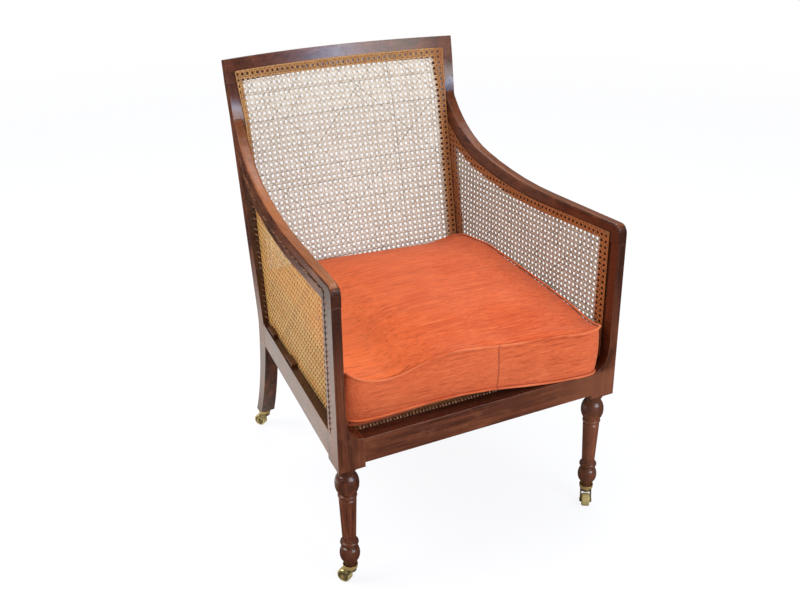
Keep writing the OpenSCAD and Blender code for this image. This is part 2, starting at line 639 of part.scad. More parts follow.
// Back cane: a sheet with square gaps, flat at the lower back rail and more and more bowed on its way
// up to the crest rail. Towards the arms' tops it comes a little forward, so that it clears the bowed wood.
bow_gap = 1.15;
function share(z, z0, z1) = max(0, min(1, (z - z0) / (z1 - z0)));
function cane_depth(x, z) = let(a = back_gap_w / 2, k = share(z, head_z0, head_z1))
    crest_face(max(abs(x), a)) * k - bow_gap * share(z, low_z1, head_z0)
        + (crest_bow - crest_face(a)) * share(z, low_z1, head_z1) * max(0, 1 - pow(x / a, 2));
module cane_back() color(cane_gold) seat_frame() on_rake() {
    w = back_cane_half_w;
    top_z = head_z1 + crest_h - crest_bare;
    cols = floor(back_gap_w / net_pitch);
    rows = floor((head_z1 - low_z1) / net_pitch);
    mid_z = (low_z1 + head_z1) / 2;
    // Lines of the sheet: its edges, the wood's edges and the gaps' edges
    xs = concat([-w, -back_gap_w / 2],
        [for (i = [0:cols - 1], s = [-1, 1]) (i - (cols - 1) / 2) * net_pitch + s * gap_half],
        [back_gap_w / 2, w]);
    gap_zs = [for (j = [0:rows - 1], s = [-1, 1]) mid_z + (j - (rows - 1) / 2) * net_pitch + s * gap_half];
    zs = concat([low_z0 + low_rail_h / 2, low_z1], [for (z = gap_zs) if (z < head_z0) z], [head_z0],
        [for (z = gap_zs) if (z > head_z0) z], [head_z1, top_z]);
    nx = len(xs);
    nz = len(zs);
    // Wood of cell (i, j) is there unless its middle lies inside a gap
    in_col = [for (i = [0:nx - 2]) i % 2 == 0 && i > 0 && i < nx - 2];
    in_row = [for (j = [0:nz - 2]) let(m = (zs[j] + zs[j + 1]) / 2)
        len([for (k = [0:rows - 1]) if (m > gap_zs[2 * k] && m < gap_zs[2 * k + 1]) k]) > 0];
    solid = [for (j = [0:nz - 2]) [for (i = [0:nx - 2]) !(in_col[i] && in_row[j])]];
    points = [for (j = [0:nz - 1], i = [0:nx - 1], side = [-cane_t, 0])
        let(x = xs[i] + (i == 0 ? -1 : i == nx - 1 ? 1 : 0) * cane_spread * share(zs[j], head_z0, top_z),
            z = j == nz - 1 ? arch_z(xs[i], w, top_z, cane_rise) : zs[j])
        [x, cane_depth(x, zs[j]) + side, z]];
    polyhedron(points = points, faces = [for (j = [0:nz - 2], i = [0:nx - 2]) if (solid[j][i])
        // Corners of the cell in front and, one number later, behind
        let(a = 2 * (j * nx + i), b = a + 2, d = a + 2 * nx, c = d + 2)
        each concat([[a, d, c], [a, c, b], [a + 1, b + 1, c + 1], [a + 1, c + 1, d + 1]],
            i == 0 || !solid[j][i - 1] ? [[a + 1, d + 1, d], [a + 1, d, a]] : [],
            i == nx - 2 || !solid[j][i + 1] ? [[b, c, c + 1], [b, c + 1, b + 1]] : [],
            j == 0 || !solid[j - 1][i] ? [[b, b + 1, a + 1], [b, a + 1, a]] : [],
            j == nz - 2 || !solid[j + 1][i] ? [[d, d + 1, c + 1], [d, c + 1, c]] : [])]);
}

module cane_side(s) color(cane_gold) seat_frame() hand(s) difference() {
    top = [for (st = arm_line) if (st[0] > arm_over_post) below(st, bare_depth(st[0]))];
    outline = concat([[post_bare, side_rail_top], [post_bare, arm_z - arm_bare]], top,
        [[seat_d, side_rail_top]]);
    gap_y0 = post_d + 4;
    gap_z0 = side_rail_top + 20;
    cols = floor((seat_d - gap_y0) / net_pitch);
    gaps = [for (i = [0:cols], j = [0:7])
        let(c = [gap_y0 + net_pitch * (i + 0.5), gap_z0 + net_pitch * (j + 0.5)])
        if (c[1] + gap_half < under_z(c[0] - gap_half) - 2)
        if (c[0] + gap_half < rake_y(c[1] - gap_half) - cane_t - 8) c];
    intersection() {
        side_plate(0, front_w) net(outline, gaps, gap_half);
        linear_extrude(arm_z * 2) polygon([[inner_x(0) - cane_t, 0], [inner_x(0), 0],
            [inner_x(arm_len), arm_len], [inner_x(arm_len) - cane_t, arm_len]]);
    }
    // The cane stops just short of the back post's face
    on_rake() translate([0, -cane_gap, -arm_z]) cube([front_w, arm_z, arm_z * 3]);
}

module cane_seat() color(cane_gold) seat_frame() {
    y0 = front_bare + 0.5;
    y1 = back_rail_y + back_rail_t / 2;
    x0 = rail_inner_x(block_d) + 19;
    x1 = rail_inner_x(seat_d) + 9;
    x2 = back_gap_w / 2 - 2;
    bx = block_x - 0.5;
    right = [[bx, y0], [bx, block_d + 0.5], [x0, block_d + 0.5], [x1, seat_d - 0.5],
        [x2, seat_d - 0.5], [x2, y1]];
    outline = concat(right, [for (i = [len(right) - 1:-1:0]) [-right[i][0], right[i][1]]]);
    open_y0 = front_rail_d + 4;
    rows = floor((back_rail_y - open_y0) / seat_net_pitch);
    h = seat_net_pitch * net_open / 2;
    centres = [for (j = [0:rows - 1])
        let(y = open_y0 + seat_net_pitch * (j + 0.5), cols = floor(2 * rail_inner_x(y + h) / seat_net_pitch))
        for (i = [0:cols - 1]) [(i - (cols - 1) / 2) * seat_net_pitch, y]];
    linear_extrude_from(cane_seat_z, cane_seat_z + cane_t) net(outline, centres, h);
}

// Loose box cushion: crowned top, piped edges, boxing that draws in between the corners.
// It lies a little askew, its front right corner nearer the rail's front edge than its left.
cushion_z = front_rail_top + 0.5;
cushion_top_z = cushion_z + cushion_box_h;
cushion_left_y = 34;
cushion_right_y = 6;
cushion_front_x = inner_x(cushion_left_y) - cane_t - cushion_gap;
cushion_back_x = inner_x(seat_d) - cane_t - cushion_gap / 2;
// Point for s across and t along the seat, both from -1 to 1, at height z. Its back follows the rake.
function cushion_point(s, t, z) = let(
        front_y = cushion_left_y + (cushion_right_y - cushion_left_y) * (s + 1) / 2,
        lift = cushion_tilt * (t + 1) / 2 * share(z, cushion_z, cushion_top_z),
        back_y = rake_y(z + lift) - cane_t - 1.5,
        x = cushion_front_x + (cushion_back_x - cushion_front_x) * (t + 1) / 2)
    [x * s, front_y + (back_y - front_y) * (t + 1) / 2, z + lift];
// Point of the outline at an angle, scaled by k. A side's middle draws in, a corner does not.
corner_power = 12;
function cushion_edge(a, k, z) = let(
        e = pow(pow(abs(cos(a)), corner_power) + pow(abs(sin(a)), corner_power), -1 / corner_power),
        s = cos(a) * e, t = sin(a) * e,
        pull = 1 - cushion_draw / cushion_front_x * (1 - pow(min(abs(s), abs(t)), 2)))
    cushion_point(s * k * (abs(s) > abs(t) ? pull : 1), t * k * (abs(t) >= abs(s) ? pull : 1), z);
// Rows from the top's middle over the piping, down the boxing and under: [share of outline, height]
cushion_rows = concat(
    [for (k = [0.2, 0.4, 0.6, 0.76, 0.88, 0.96]) [k, cushion_top_z + cushion_crown * (1 - pow(k, 4))]],
    [[0.988, cushion_top_z + 1], [0.995, cushion_top_z + piping_dia / 3]],
    [[1.0, cushion_top_z - piping_dia / 3], [0.988, cushion_top_z - piping_dia]],
    [for (f = [0.25, 0.5, 0.75])
        [0.99 + 0.010 * sin(180 * f), cushion_top_z - piping_dia - (cushion_box_h - 2.5 * piping_dia) * f]],
    [[0.983, cushion_z + piping_dia * 1.4], [0.97, cushion_z + piping_dia / 2]],
    [[0.95, cushion_z], [0.6, cushion_z]]);
module seat_cushion() color(cushion_red) seat_frame() {
    n = 56;
    rings = [for (row = cushion_rows) [for (i = [0:n - 1]) cushion_edge(360 * i / n, row[0], row[1])]];
    m = len(rings);
    middles = [cushion_point(0, 0, cushion_top_z + cushion_crown), cushion_point(0, 0, cushion_z)];
    polyhedron(points = concat([for (ring = rings) each ring], middles), faces = concat(
        [for (j = [0:m - 2], i = [0:n - 1]) let(k = (i + 1) % n) [j * n + i, j * n + k, (j + 1) * n + i]],
        [for (j = [0:m - 2], i = [0:n - 1]) let(k = (i + 1) % n)
            [j * n + k, (j + 1) * n + k, (j + 1) * n + i]],
        [for (i = [0:n - 1]) [m * n, (i + 1) % n, i]],
        [for (i = [0:n - 1]) [m * n + 1, (m - 1) * n + i, (m - 1) * n + (i + 1) % n]]));
}

// Casters. k is 0 front left, 1 front right, 2 back left, 3 back right; a caster trails along +Y
// before it is turned to its rest angle. Positive angles turn it towards the chair's left.
module caster(k) seat_frame() translate([LEG_X[k], LEG_Y[k], 0])
    rotate([0, 0, rest_angles[k]]) children();

cheek_in = wheel_w / 2 + fork_gap;
cheek_out = cheek_in + cheek_t;
module caster_dish(k) color(brass) caster(k) {
    r = dish_dia / 2;
    // Dish: flat floor, flaring side, thin rim
    rotate_extrude() polygon([[0, dish_z], [r - 4, dish_z], [r - 1.2, dish_z + 2], [r, rim_z],
        [r - 1.6, rim_z], [r - 3.2, leg_end_z + 1], [leg_end_dia / 2 + 0.5, leg_end_z], [0, leg_end_z]]);
    // Screw up into the leg
    translate([0, 0, leg_end_z - 1]) cylinder(h = caster_screw_l + 1, r = caster_screw_dia / 2);
    // Swivel pin, riveted over under the fork's crown
    pin_z = crown_z - swivel_washer;
    translate([0, 0, pin_z - 1]) cylinder(h = dish_z - pin_z + 2, r = swivel_dia / 2);
    translate([0, 0, pin_z - 2]) cylinder(h = 2, r = swivel_dia / 2 + 2);
}

module caster_fork(k) color(brass) caster(k) difference() {
    union() {
        translate([0, 0, crown_z]) cylinder(h = crown_t, r = cheek_out);
        // Cheeks: from the crown down to a round eye at the axle
        eye = [trail, wheel_r];
        for (s = [-1, 1]) side_plate(s > 0 ? cheek_in : -cheek_out, s > 0 ? cheek_out : -cheek_in) {
            translate(eye) circle(r = boss_r);
            polygon([[-7, crown_z + crown_t / 2], [-7, crown_z], eye + boss_r * [cos(215), sin(215)],
                eye + boss_r * [cos(20), sin(20)], [9, crown_z + crown_t / 2]]);
        }
    }
    translate([0, 0, crown_z - 1]) cylinder(h = crown_t + 2, r = swivel_dia / 2 + running_gap);
    axle_hole_l = 2 * cheek_out + 2;
    translate([-axle_hole_l / 2, trail, wheel_r]) rotate([0, 90, 0])
        cylinder(h = axle_hole_l, r = axle_dia / 2);
}

module caster_axle(k) color(brass) caster(k) translate([0, trail, wheel_r]) rotate([0, 90, 0]) {
    translate([0, 0, -cheek_out - axle_head_t / 2])
        cylinder(h = 2 * cheek_out + axle_head_t, r = axle_dia / 2);
    for (s = [-1, 1]) translate([0, 0, s > 0 ? cheek_out : -cheek_out - axle_head_t])
        cylinder(h = axle_head_t, r = axle_head_dia / 2);
}

module caster_wheel(k) color(brass) caster(k) translate([0, trail, wheel_r]) rotate([0, 90, 0]) {
    h = wheel_w / 2;
    bore = axle_dia / 2 + running_gap;
    hub = bore + 2.2;
    // Half of the wheel's section, from the hub out to the tread: raised hub, dished web, rounded rim
    half = [[bore, h], [hub, h], [hub, h - 0.8], [wheel_r - 3.2, h - 0.8], [wheel_r - 2.8, h],
        [wheel_r - 1.6, h], [wheel_r, h - wheel_chamfer]];
    rotate_extrude()
        polygon(concat(half, [for (i = [len(half) - 1:-1:0]) [half[i][0], -half[i][1]]]));
}

crest_rail();
seat_frame() post_head(-1);  // post_head_left
seat_frame() post_head(1);  // post_head_right
stile_tenons();
seat_frame() back_post(-1);  // back_post_left
seat_frame() back_post(1);  // back_post_right
seat_frame() arm(-1);  // arm_left
seat_frame() arm(1);  // arm_right
arm_dowels();
seat_frame() front_post(-1);  // front_post_left
seat_frame() front_post(1);  // front_post_right
front_seat_rail();
side_seat_rail(-1);  // side_seat_rail_left
side_seat_rail(1);  // side_seat_rail_right
back_seat_rail();
lower_back_rail();
corner_braces();
ledge_blocks();
cane_back();
cane_side(-1);  // cane_side_left
cane_side(1);  // cane_side_right
cane_seat();
seat_cushion();
caster_dish(0);  // caster_dish_front_left
caster_dish(1);  // caster_dish_front_right
caster_dish(2);  // caster_dish_back_left
caster_dish(3);  // caster_dish_back_right
caster_fork(0);  // caster_fork_front_left
caster_fork(1);  // caster_fork_front_right
caster_fork(2);  // caster_fork_back_left
caster_fork(3);  // caster_fork_back_right
caster_axle(0);  // caster_axle_front_left
caster_axle(1);  // caster_axle_front_right
caster_axle(2);  // caster_axle_back_left
caster_axle(3);  // caster_axle_back_right
caster_wheel(0);  // caster_wheel_front_left
caster_wheel(1);  // caster_wheel_front_right
caster_wheel(2);  // caster_wheel_back_left
caster_wheel(3);  // caster_wheel_back_right
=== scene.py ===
"""Caned library armchair: polished mahogany frame, woven cane panels, brass casters and a loose cushion."""

import math

import bpy
import numpy as np
from mathutils import Matrix, Vector


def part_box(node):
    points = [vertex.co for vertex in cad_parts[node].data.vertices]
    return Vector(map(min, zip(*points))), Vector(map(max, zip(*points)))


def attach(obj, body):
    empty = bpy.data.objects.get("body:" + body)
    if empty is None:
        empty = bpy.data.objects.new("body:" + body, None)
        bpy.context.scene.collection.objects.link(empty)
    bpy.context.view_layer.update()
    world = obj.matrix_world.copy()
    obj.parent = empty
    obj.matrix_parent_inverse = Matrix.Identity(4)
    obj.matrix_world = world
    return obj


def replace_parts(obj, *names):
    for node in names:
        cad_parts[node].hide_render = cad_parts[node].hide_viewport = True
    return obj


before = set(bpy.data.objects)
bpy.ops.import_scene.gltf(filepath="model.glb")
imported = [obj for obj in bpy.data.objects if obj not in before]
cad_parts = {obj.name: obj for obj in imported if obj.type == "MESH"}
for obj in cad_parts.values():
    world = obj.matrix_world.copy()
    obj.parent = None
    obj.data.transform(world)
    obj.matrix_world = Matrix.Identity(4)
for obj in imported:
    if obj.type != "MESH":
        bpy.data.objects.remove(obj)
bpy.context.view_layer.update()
scene = bpy.context.scene


def add_object(name, data):
    added = bpy.data.objects.new(name, data)
    scene.collection.objects.link(added)
    return added


# ---- camera
# A viewer stands before the chair's left side, a little above it, and looks down on the seat.
focal_pixels, picture_pixels = 997.7, 800
viewer = (-0.90445, -1.80722, 1.38446)
heading, dip, tilt = -26.398, -25.201, -0.831
view = bpy.data.cameras.new("view")
view.sensor_width = 36.0
view.lens = view.sensor_width * focal_pixels / picture_pixels
camera = add_object("view", view)
turn = (Matrix.Rotation(math.radians(heading), 4, "Z")
        @ Matrix.Rotation(math.radians(90 + dip), 4, "X")
        @ Matrix.Rotation(math.radians(tilt), 4, "Z"))
camera.matrix_world = Matrix.Translation(viewer) @ turn
bpy.context.scene.camera = camera
scene.view_settings.view_transform = "Standard"


# ---- material maths
class Wire:
    """An output socket in a node tree. Arithmetic on it adds Math nodes to that tree."""

    def __init__(self, nodes, socket):
        self.nodes, self.socket = nodes, socket

    def maths(self, operation, *values):
        return self.nodes.node("ShaderNodeMath", {"operation": operation}, dict(enumerate(values)))

    def __add__(self, other):
        return self.maths("ADD", self, other)

    def __sub__(self, other):
        return self.maths("SUBTRACT", self, other)

    def __rsub__(self, other):
        return self.maths("SUBTRACT", other, self)

    def __mul__(self, other):
        return self.maths("MULTIPLY", self, other)

    def __abs__(self):
        return self.maths("ABSOLUTE", self)

    def ramp(self, low, high):
        """0 below low, 1 above high, smooth in between; falls instead where low is the larger."""
        return self.nodes.node("ShaderNodeMapRange", {"interpolation_type": "SMOOTHSTEP"},
                               {"Value": self, "From Min": low, "From Max": high})

    __radd__ = __add__
    __rmul__ = __mul__


class Nodes:
    """A node tree to which nodes are added one by one."""

    def __init__(self, tree):
        self.tree = tree

    def node(self, kind, settings=None, inputs=None, output=0):
        """Adds a node: its settings first, then a value or a wire for each of its sockets."""
        node = self.tree.nodes.new(kind)
        for name, value in (settings or {}).items():
            setattr(node, name, value)
        for name, value in (inputs or {}).items():
            self.plug(node.inputs[name], value)
        return Wire(self, node.outputs[output])

    def plug(self, socket, value):
        if isinstance(value, Wire):
            self.tree.links.new(value.socket, socket)
        else:
            socket.default_value = value

    def vector(self, operation, *values, output=0):
        return self.node("ShaderNodeVectorMath", {"operation": operation}, dict(enumerate(values)), output)

    def parts(self, vector):
        """A vector's numbers along X, Y and Z."""
        split = self.node("ShaderNodeSeparateXYZ", None, {0: vector}).socket.node
        return [Wire(self, socket) for socket in split.outputs]

    def glow(self, colour, strength, kind="ShaderNodeEmission"):
        return self.node(kind, None, {"Color": (*colour, 1), "Strength": strength})

    def ray(self, kind):
        """1 for rays of that kind, else 0."""
        return self.node("ShaderNodeLightPath", output=f"Is {kind} Ray")

    def switch(self, amount, first, second):
        """The first shader where amount is 0, the second where it is 1."""
        return self.node("ShaderNodeMixShader", None, {0: amount, 1: first, 2: second})


class Finish(Nodes):
    """A material that ends in a Principled shader."""

    def __init__(self, name, **constants):
        self.material = bpy.data.materials.new(name)
        self.material.use_nodes = True
        super().__init__(self.material.node_tree)
        self.shader = self.tree.nodes["Principled BSDF"]
        self.wear(**constants)
        self.place = self.node("ShaderNodeTexCoord", output="Object")

    def wear(self, **sockets):
        """Sets or links sockets of the Principled shader, named with _ for a space."""
        for name, value in sockets.items():
            self.plug(self.shader.inputs[name.replace("_", " ")], value)

    def read(self, label):
        """The number that the mesh keeps under a label."""
        return self.node("ShaderNodeAttribute", {"attribute_name": label}, output=2)

    def noise(self, scale, detail=3.0, distortion=0.0):
        """Noise from 0 to 1 whose features are 1/scale metres long on each axis."""
        return self.node("ShaderNodeTexNoise", {"noise_dimensions": "3D"}, {
            "Vector": self.vector("MULTIPLY", self.place, scale), "Scale": 1.0, "Detail": detail,
            "Roughness": 0.55, "Distortion": distortion})

    def blend(self, amount, first, second):
        """first where amount is 0, second where it is 1; either a colour or a wire."""
        def full(colour):
            return colour if isinstance(colour, Wire) else (*colour, 1.0)
        return self.node("ShaderNodeMix", {"data_type": "RGBA"},
                         {0: amount, 6: full(first), 7: full(second)}, output=2)

    def coats(self, colour, *layers):
        """The colour under layers laid one over another, each a share and a colour."""
        for amount, over in layers:
            colour = self.blend(amount, colour, over)
        return colour

    def bump(self, height, distance, strength=1.0, normal=None):
        inputs = {"Height": height, "Distance": distance, "Strength": strength}
        if normal is not None:
            inputs["Normal"] = normal
        return self.node("ShaderNodeBump", None, inputs)

    def edges(self, radius, samples):
        """The normal rounded over the edges, and its likeness to the face's own normal, 1 away from edges."""
        soft = self.node("ShaderNodeBevel", {"samples": samples}, {"Radius": radius})
        return soft, self.vector("DOT_PRODUCT", soft, self.node("ShaderNodeNewGeometry", output=1), output=1)


# ---- floor, backdrop and light
# A white photographer's floor that runs past every edge of the picture and turns plain white far off.
far = 60
floor_mesh = bpy.data.meshes.new("floor")
floor_mesh.from_pydata([(-far, -far, 0), (far, -far, 0), (far, far, 0), (-far, far, 0)], [], [(0, 1, 2, 3)])
floor = add_object("floor", floor_mesh)
paper = Finish("floor_paper", Roughness=0.9, Base_Color=(0.66, 0.66, 0.67, 1))
matt = paper.node("ShaderNodeBsdfDiffuse", None, {"Color": (0.14, 0.14, 0.15, 1)})
near = paper.node("ShaderNodeAddShader", None, {0: matt, 1: paper.glow((0.985, 0.99, 1.0), 0.86)})
across, along, _ = paper.parts(paper.place)
plain = (across * across + along * along).ramp(3.0, 30.0)
straight = paper.switch(plain, near, paper.glow((1, 1, 1), 1.0))
# Seen in the chair's polish only, the paper shows near black, and glows in a patch behind the chair's left side,
# under the window: a painted reflection, lit by no lamp, that lays a sheen on the chair's left faces
glow_patch = along.ramp(-0.20, 0.25) * along.ramp(1.5, 0.8) * across.ramp(-0.12, -0.42)
mirrored = paper.switch(glow_patch, paper.glow((1.0, 0.99, 0.97), 0.05), paper.glow((1.0, 0.95, 0.88), 1.25))
unseen = paper.switch(paper.ray("Glossy"), Wire(paper, paper.shader.outputs[0]), mirrored)
seen = paper.switch(paper.ray("Camera"), unseen, straight)
paper.plug(paper.tree.nodes["Material Output"].inputs["Surface"], seen)
floor_mesh.materials.append(paper.material)

# The room: an even white light, seen white behind the chair. In its gloss the chair shows the white paper behind
# and beside it, and the darker side of the room where the viewer stands.
world = bpy.data.worlds.new("room")
world.use_nodes = True
scene.world = world
room = Nodes(world.node_tree)
towards = room.vector("DOT_PRODUCT", room.node("ShaderNodeTexCoord"), (-0.36, -0.90, 0.25), output=1)
dimming = room.node("ShaderNodeMapRange", {"interpolation_type": "SMOOTHSTEP"}, {
    "Value": towards, "From Min": -0.55, "From Max": 0.35, "To Min": 0.26, "To Max": 0.04})
even, gloss, backdrop = (room.glow(colour, strength, "ShaderNodeBackground") for colour, strength in (
    ((0.975, 0.985, 1.0), 0.74), ((0.97, 0.985, 1.0), dimming), ((1, 1, 1), 1.0)))
shown = room.switch(room.ray("Camera"), room.switch(room.ray("Glossy"), even, gloss), backdrop)
room.plug(room.tree.nodes["World Output"].inputs["Surface"], shown)

# Soft square lamps, each at a place and turned towards another
for name, place, aim, size, power, colour in (
        ("window", (-2.4, 0.4, 2.6), (0, 0, 0.4), 1.8, 62, (1.0, 0.985, 0.96)),
        ("ceiling", (0.6, 0.6, 3.2), (0, 0, 0.4), 2.2, 34, (0.97, 0.985, 1.0)),
        ("sky", (1.3, -2.6, 1.25), (0.05, 0.2, 0.9), 0.7, 15, (0.47, 0.65, 1.0)),
        ("flash", (0.7, -3.0, 1.6), (0.1, 0, 0.3), 1.6, 36, (1.0, 0.95, 0.90))):
    light = bpy.data.lights.new(name, "AREA")
    light.shape, light.size, light.energy, light.color = "SQUARE", size, power, colour
    holder = add_object(name, light)
    holder.location = place
    holder.rotation_euler = (Vector(aim) - Vector(place)).to_track_quat("-Z", "Y").to_euler()

# ---- mahogany
# The whole frame is mahogany, stained and wax-polished over many years, mortised and tenoned together. The rails
# that the cane and the cushion hide are of plainer wood, stained dark.
front_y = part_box("front_seat_rail")[0][1]
rake = math.radians(10)
seat_depth, rail_top = 0.539, 0.358
# The post heads' ends, up the back's slope, and the crest rail's bow over half its width
head_low, head_top = 0.4681, 0.5473
crest_half, crest_bow = 0.2775, 0.050


def times(colour, share):
    return tuple(share * c for c in colour)


def mahogany(name, grain, tone=1.0, tops=None, bowed=False, leg=False, polish=0.72):
    """Old mahogany with its grain along one axis: red-brown figure, light and dark, short dark pores, edges worn
    pale, and a thin dark line where post, arm and crest rail are jointed. Its upper faces turn to the pair of
    colours in tops, painted shade on the rails and a painted sheen on the arms, with painted shade high at the
    back. The arms' noses and the post fronts under them are darker, and the lower right front is painted paler
    as painted light. A leg is dark at its turned bulbs, with painted shade on its inner face at the right and in
    the corner between back post and side panel. polish is how strongly the wood shines. Bowed pieces are shaded
    by the bow's true normal, from its slopes across and up the back."""
    def along(length, across):
        return [1 / length if axis == grain else 1 / across for axis in "xyz"]
    wood = Finish(name, Specular_IOR_Level=polish)
    figure = wood.noise(along(0.26, 0.017), 4, 0.7)
    streak = wood.noise(along(0.11, 0.0024), 4)
    pore = wood.noise(along(0.011, 0.00065), 2).ramp(0.60, 0.70)
    cloud = wood.noise((9, 9, 9))
    patch = wood.noise(along(0.055, 0.030))
    mixed = (figure * 0.5 + streak * 0.5).ramp(0.30, 0.70)
    soft, edge = wood.edges(0.0016, 6)
    outward, backward, upward = wood.parts(soft)
    x, y, z = wood.parts(wood.place)
    colour = wood.coats(
        wood.blend(mixed, times((0.038, 0.0088, 0.0036), tone), times((0.190, 0.050, 0.0190), tone)),
        (patch.ramp(0.50, 0.78) * 0.45, times((0.300, 0.100, 0.0380), tone)),
        (cloud.ramp(0.52, 0.30) * 0.55, times((0.020, 0.0055, 0.0030), tone)),
        (pore * 0.65, (0.010, 0.004, 0.003)))
    # Upper faces: painted shade on the rails' tops, a painted sheen on the arms' tops, then painted shade high at
    # the back
    if tops:
        share, dark, pale = tops
        colour = wood.coats(
            colour, (upward.ramp(0.35, 0.85) * share, wood.blend(mixed, dark, pale)),
            (upward.ramp(0.35, 0.70) * z.ramp(0.70, 0.79) * 0.4, (0.120, 0.034, 0.011)))
    worn = edge.ramp(0.995, 0.90) * (cloud * 0.6 + patch * 0.6)
    # Darker on faces that do not face up, high at the front: the arms' noses and the post fronts under them
    darker_noses = z.ramp(0.44, 0.62) * y.ramp(front_y + 0.070, front_y + 0.050) * upward.ramp(0.75, 0.35)
    # Painted light: the lower right front is painted paler, where more light falls
    painted_light_right = x.ramp(0.10, 0.27) * z.ramp(0.360, 0.345) * y.ramp(front_y + 0.10, front_y + 0.08)
    colour = wood.coats(colour, (worn * 0.75, (0.33, 0.135, 0.060)), (darker_noses * 0.62, (0.022, 0.0068, 0.0042)),
                        (painted_light_right * 0.42, (0.300, 0.105, 0.048)))
    if leg:
        # Painted shade on the inner face at the right and in the corner between back post and side panel; the turned
        # bulbs are darker
        inner = outward.ramp(-0.60, -0.90) * x.ramp(0.27, 0.29)
        bulbs = z.ramp(0.225, 0.245) * z.ramp(0.296, 0.286) + z.ramp(0.130, 0.108)
        corner = backward.ramp(-0.60, -0.90) * y.ramp(front_y + 0.45, front_y + 0.52) * z.ramp(0.26, 0.36)
        colour = wood.coats(colour, (inner * 0.70, (0.036, 0.0058, 0.0012)),
                            ((bulbs + corner * 1.25) * 0.45, (0.020, 0.0058, 0.0035)))
    height = (z - rail_top) * math.cos(rake) + (y - (front_y + seat_depth)) * math.sin(rake)
    if bowed:
        share = (height - head_low).ramp(0.0, head_top - head_low)
        across = x * share * (-2 * crest_bow / crest_half ** 2)
        upwards = (share - share * share) * (x * x * (-1 / crest_half ** 2) + 1.0) * (
            5.0 * crest_bow / (head_top - head_low))
        tilted = wood.vector("NORMALIZE", wood.node("ShaderNodeCombineXYZ", None, {
            0: across, 1: upwards * math.sin(rake) - math.cos(rake), 2: upwards * math.cos(rake) + math.sin(rake)}))
        facing = wood.vector("DOT_PRODUCT", soft, tilted, output=1)
        side = facing.maths("SIGN", facing)
        sides = wood.node("ShaderNodeCombineXYZ", None, {0: side, 1: side, 2: side})
        turned = wood.vector("MULTIPLY", tilted, sides)
        soft = wood.blend(abs(facing).ramp(0.90, 0.965), soft, turned)
    joint = sum(abs(height - seam).ramp(0.0006, 0.0002) for seam in (head_low, head_top))
    wood.wear(Base_Color=wood.blend(joint * 0.85, colour, (0.006, 0.003, 0.002)),
              Roughness=0.15 + cloud * 0.20 + pore * 0.1 + joint * 0.3,
              Normal=wood.bump(pore * -0.5 + streak * 0.2 - joint, 0.0003, 0.5, soft))
    return wood.material


def put_on(node, finish):
    node.data.materials.clear()
    node.data.materials.append(finish)


# Painted shade: the rails' top faces, in the shade of the cushion and the cane, are painted near black
shaded_tops = (0.8, (0.016, 0.0050, 0.0035), (0.034, 0.0105, 0.0065))
front_rail = mahogany("mahogany_front_rail", "x", tops=shaded_tops)
side_rail = mahogany("mahogany_side_rail", "y", tops=shaded_tops)
upright = mahogany("mahogany_upright", "z", leg=True)
# Painted sheen: the arms' top faces are painted paler; the right arm is a darker copy of the same wood with less of
# it
left_arm = mahogany("mahogany_arm", "y", 1.0, (0.80, (0.205, 0.064, 0.020), (0.410, 0.138, 0.044)), polish=0.52)
right_arm = mahogany("mahogany_right_arm", "y", 0.75, (0.45, (0.150, 0.042, 0.012), (0.300, 0.096, 0.030)),
                     polish=0.45)
crest = mahogany("mahogany_crest", "x", bowed=True)
head = mahogany("mahogany_post_head", "z", bowed=True)
beech = mahogany("stained_beech", "x", 0.6)
wood_of = {"crest": crest, "post_head": head, "front_seat": front_rail, "side_seat": side_rail, "arm_left": left_arm,
           "arm_right": right_arm, "back_seat": beech, "lower_back": beech, "corner": beech, "ledge": beech}
for name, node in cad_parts.items():
    if not name.startswith(("caster", "cane", "seat_cushion")):
        put_on(node, next((wood for start, wood in wood_of.items() if name.startswith(start)), upright))

# ---- woven cane
# Split cane worked by hand through holes drilled in the frame: pairs of upright and of crosswise strands, and
# two sets of single diagonals threaded over and under them. The seat has the same weave under the cushion.
pitch = 0.0127
strand_w, strand_t = 0.00235, 0.0005
pair_half, pair_rise = 0.0022, 0.000375
# How far strands and loops stray from their places, and how far a weave's middle stands off the wood
pair_stray, lone_stray, loop_stray = 0.00012, 0.0003, 0.0006
back_off, side_off = 0.0012, 0.0014
chance = np.random.default_rng(11)


def in_chair(x, y, z):
    """Points of the chair, with y measured from the front rail's face."""
    return np.stack(np.broadcast_arrays(x, y + front_y, z), axis=-1)


def on_rake(across, behind, up):
    """Point of the leaning back: up its slope, behind its plane, as seen in the chair's own axes."""
    return in_chair(across, seat_depth + behind * math.cos(rake) + up * math.sin(rake),
                    rail_top - behind * math.sin(rake) + up * math.cos(rake))


def runs_inside(starts, way, outline):
    """Longest stretch of each line start + t * way inside an outline. The line meets an edge v + u * e where
    t = cross(v - start, e) / cross(way, e), as long as u = cross(v - start, way) / cross(way, e) is 0 to 1."""
    edge = np.roll(outline, -1, axis=0) - outline
    gap = outline[None] - starts[:, None]
    turn = way[0] * edge[:, 1] - way[1] * edge[:, 0]
    turn = np.where(abs(turn) < 1e-12, np.nan, turn)
    t = (gap[..., 0] * edge[:, 1] - gap[..., 1] * edge[:, 0]) / turn
    u = (gap[..., 0] * way[1] - gap[..., 1] * way[0]) / turn
    t = np.sort(np.where((u >= 0) & (u < 1), t, np.nan), axis=1)
    count = t.shape[1] // 2 * 2
    length = np.nan_to_num(t[:, 1:count:2] - t[:, 0:count:2])
    best = length.argmax(axis=1)
    row = np.arange(len(t))
    return t[row, 2 * best], t[row, 2 * best + 1], length[row, best] > 0.006


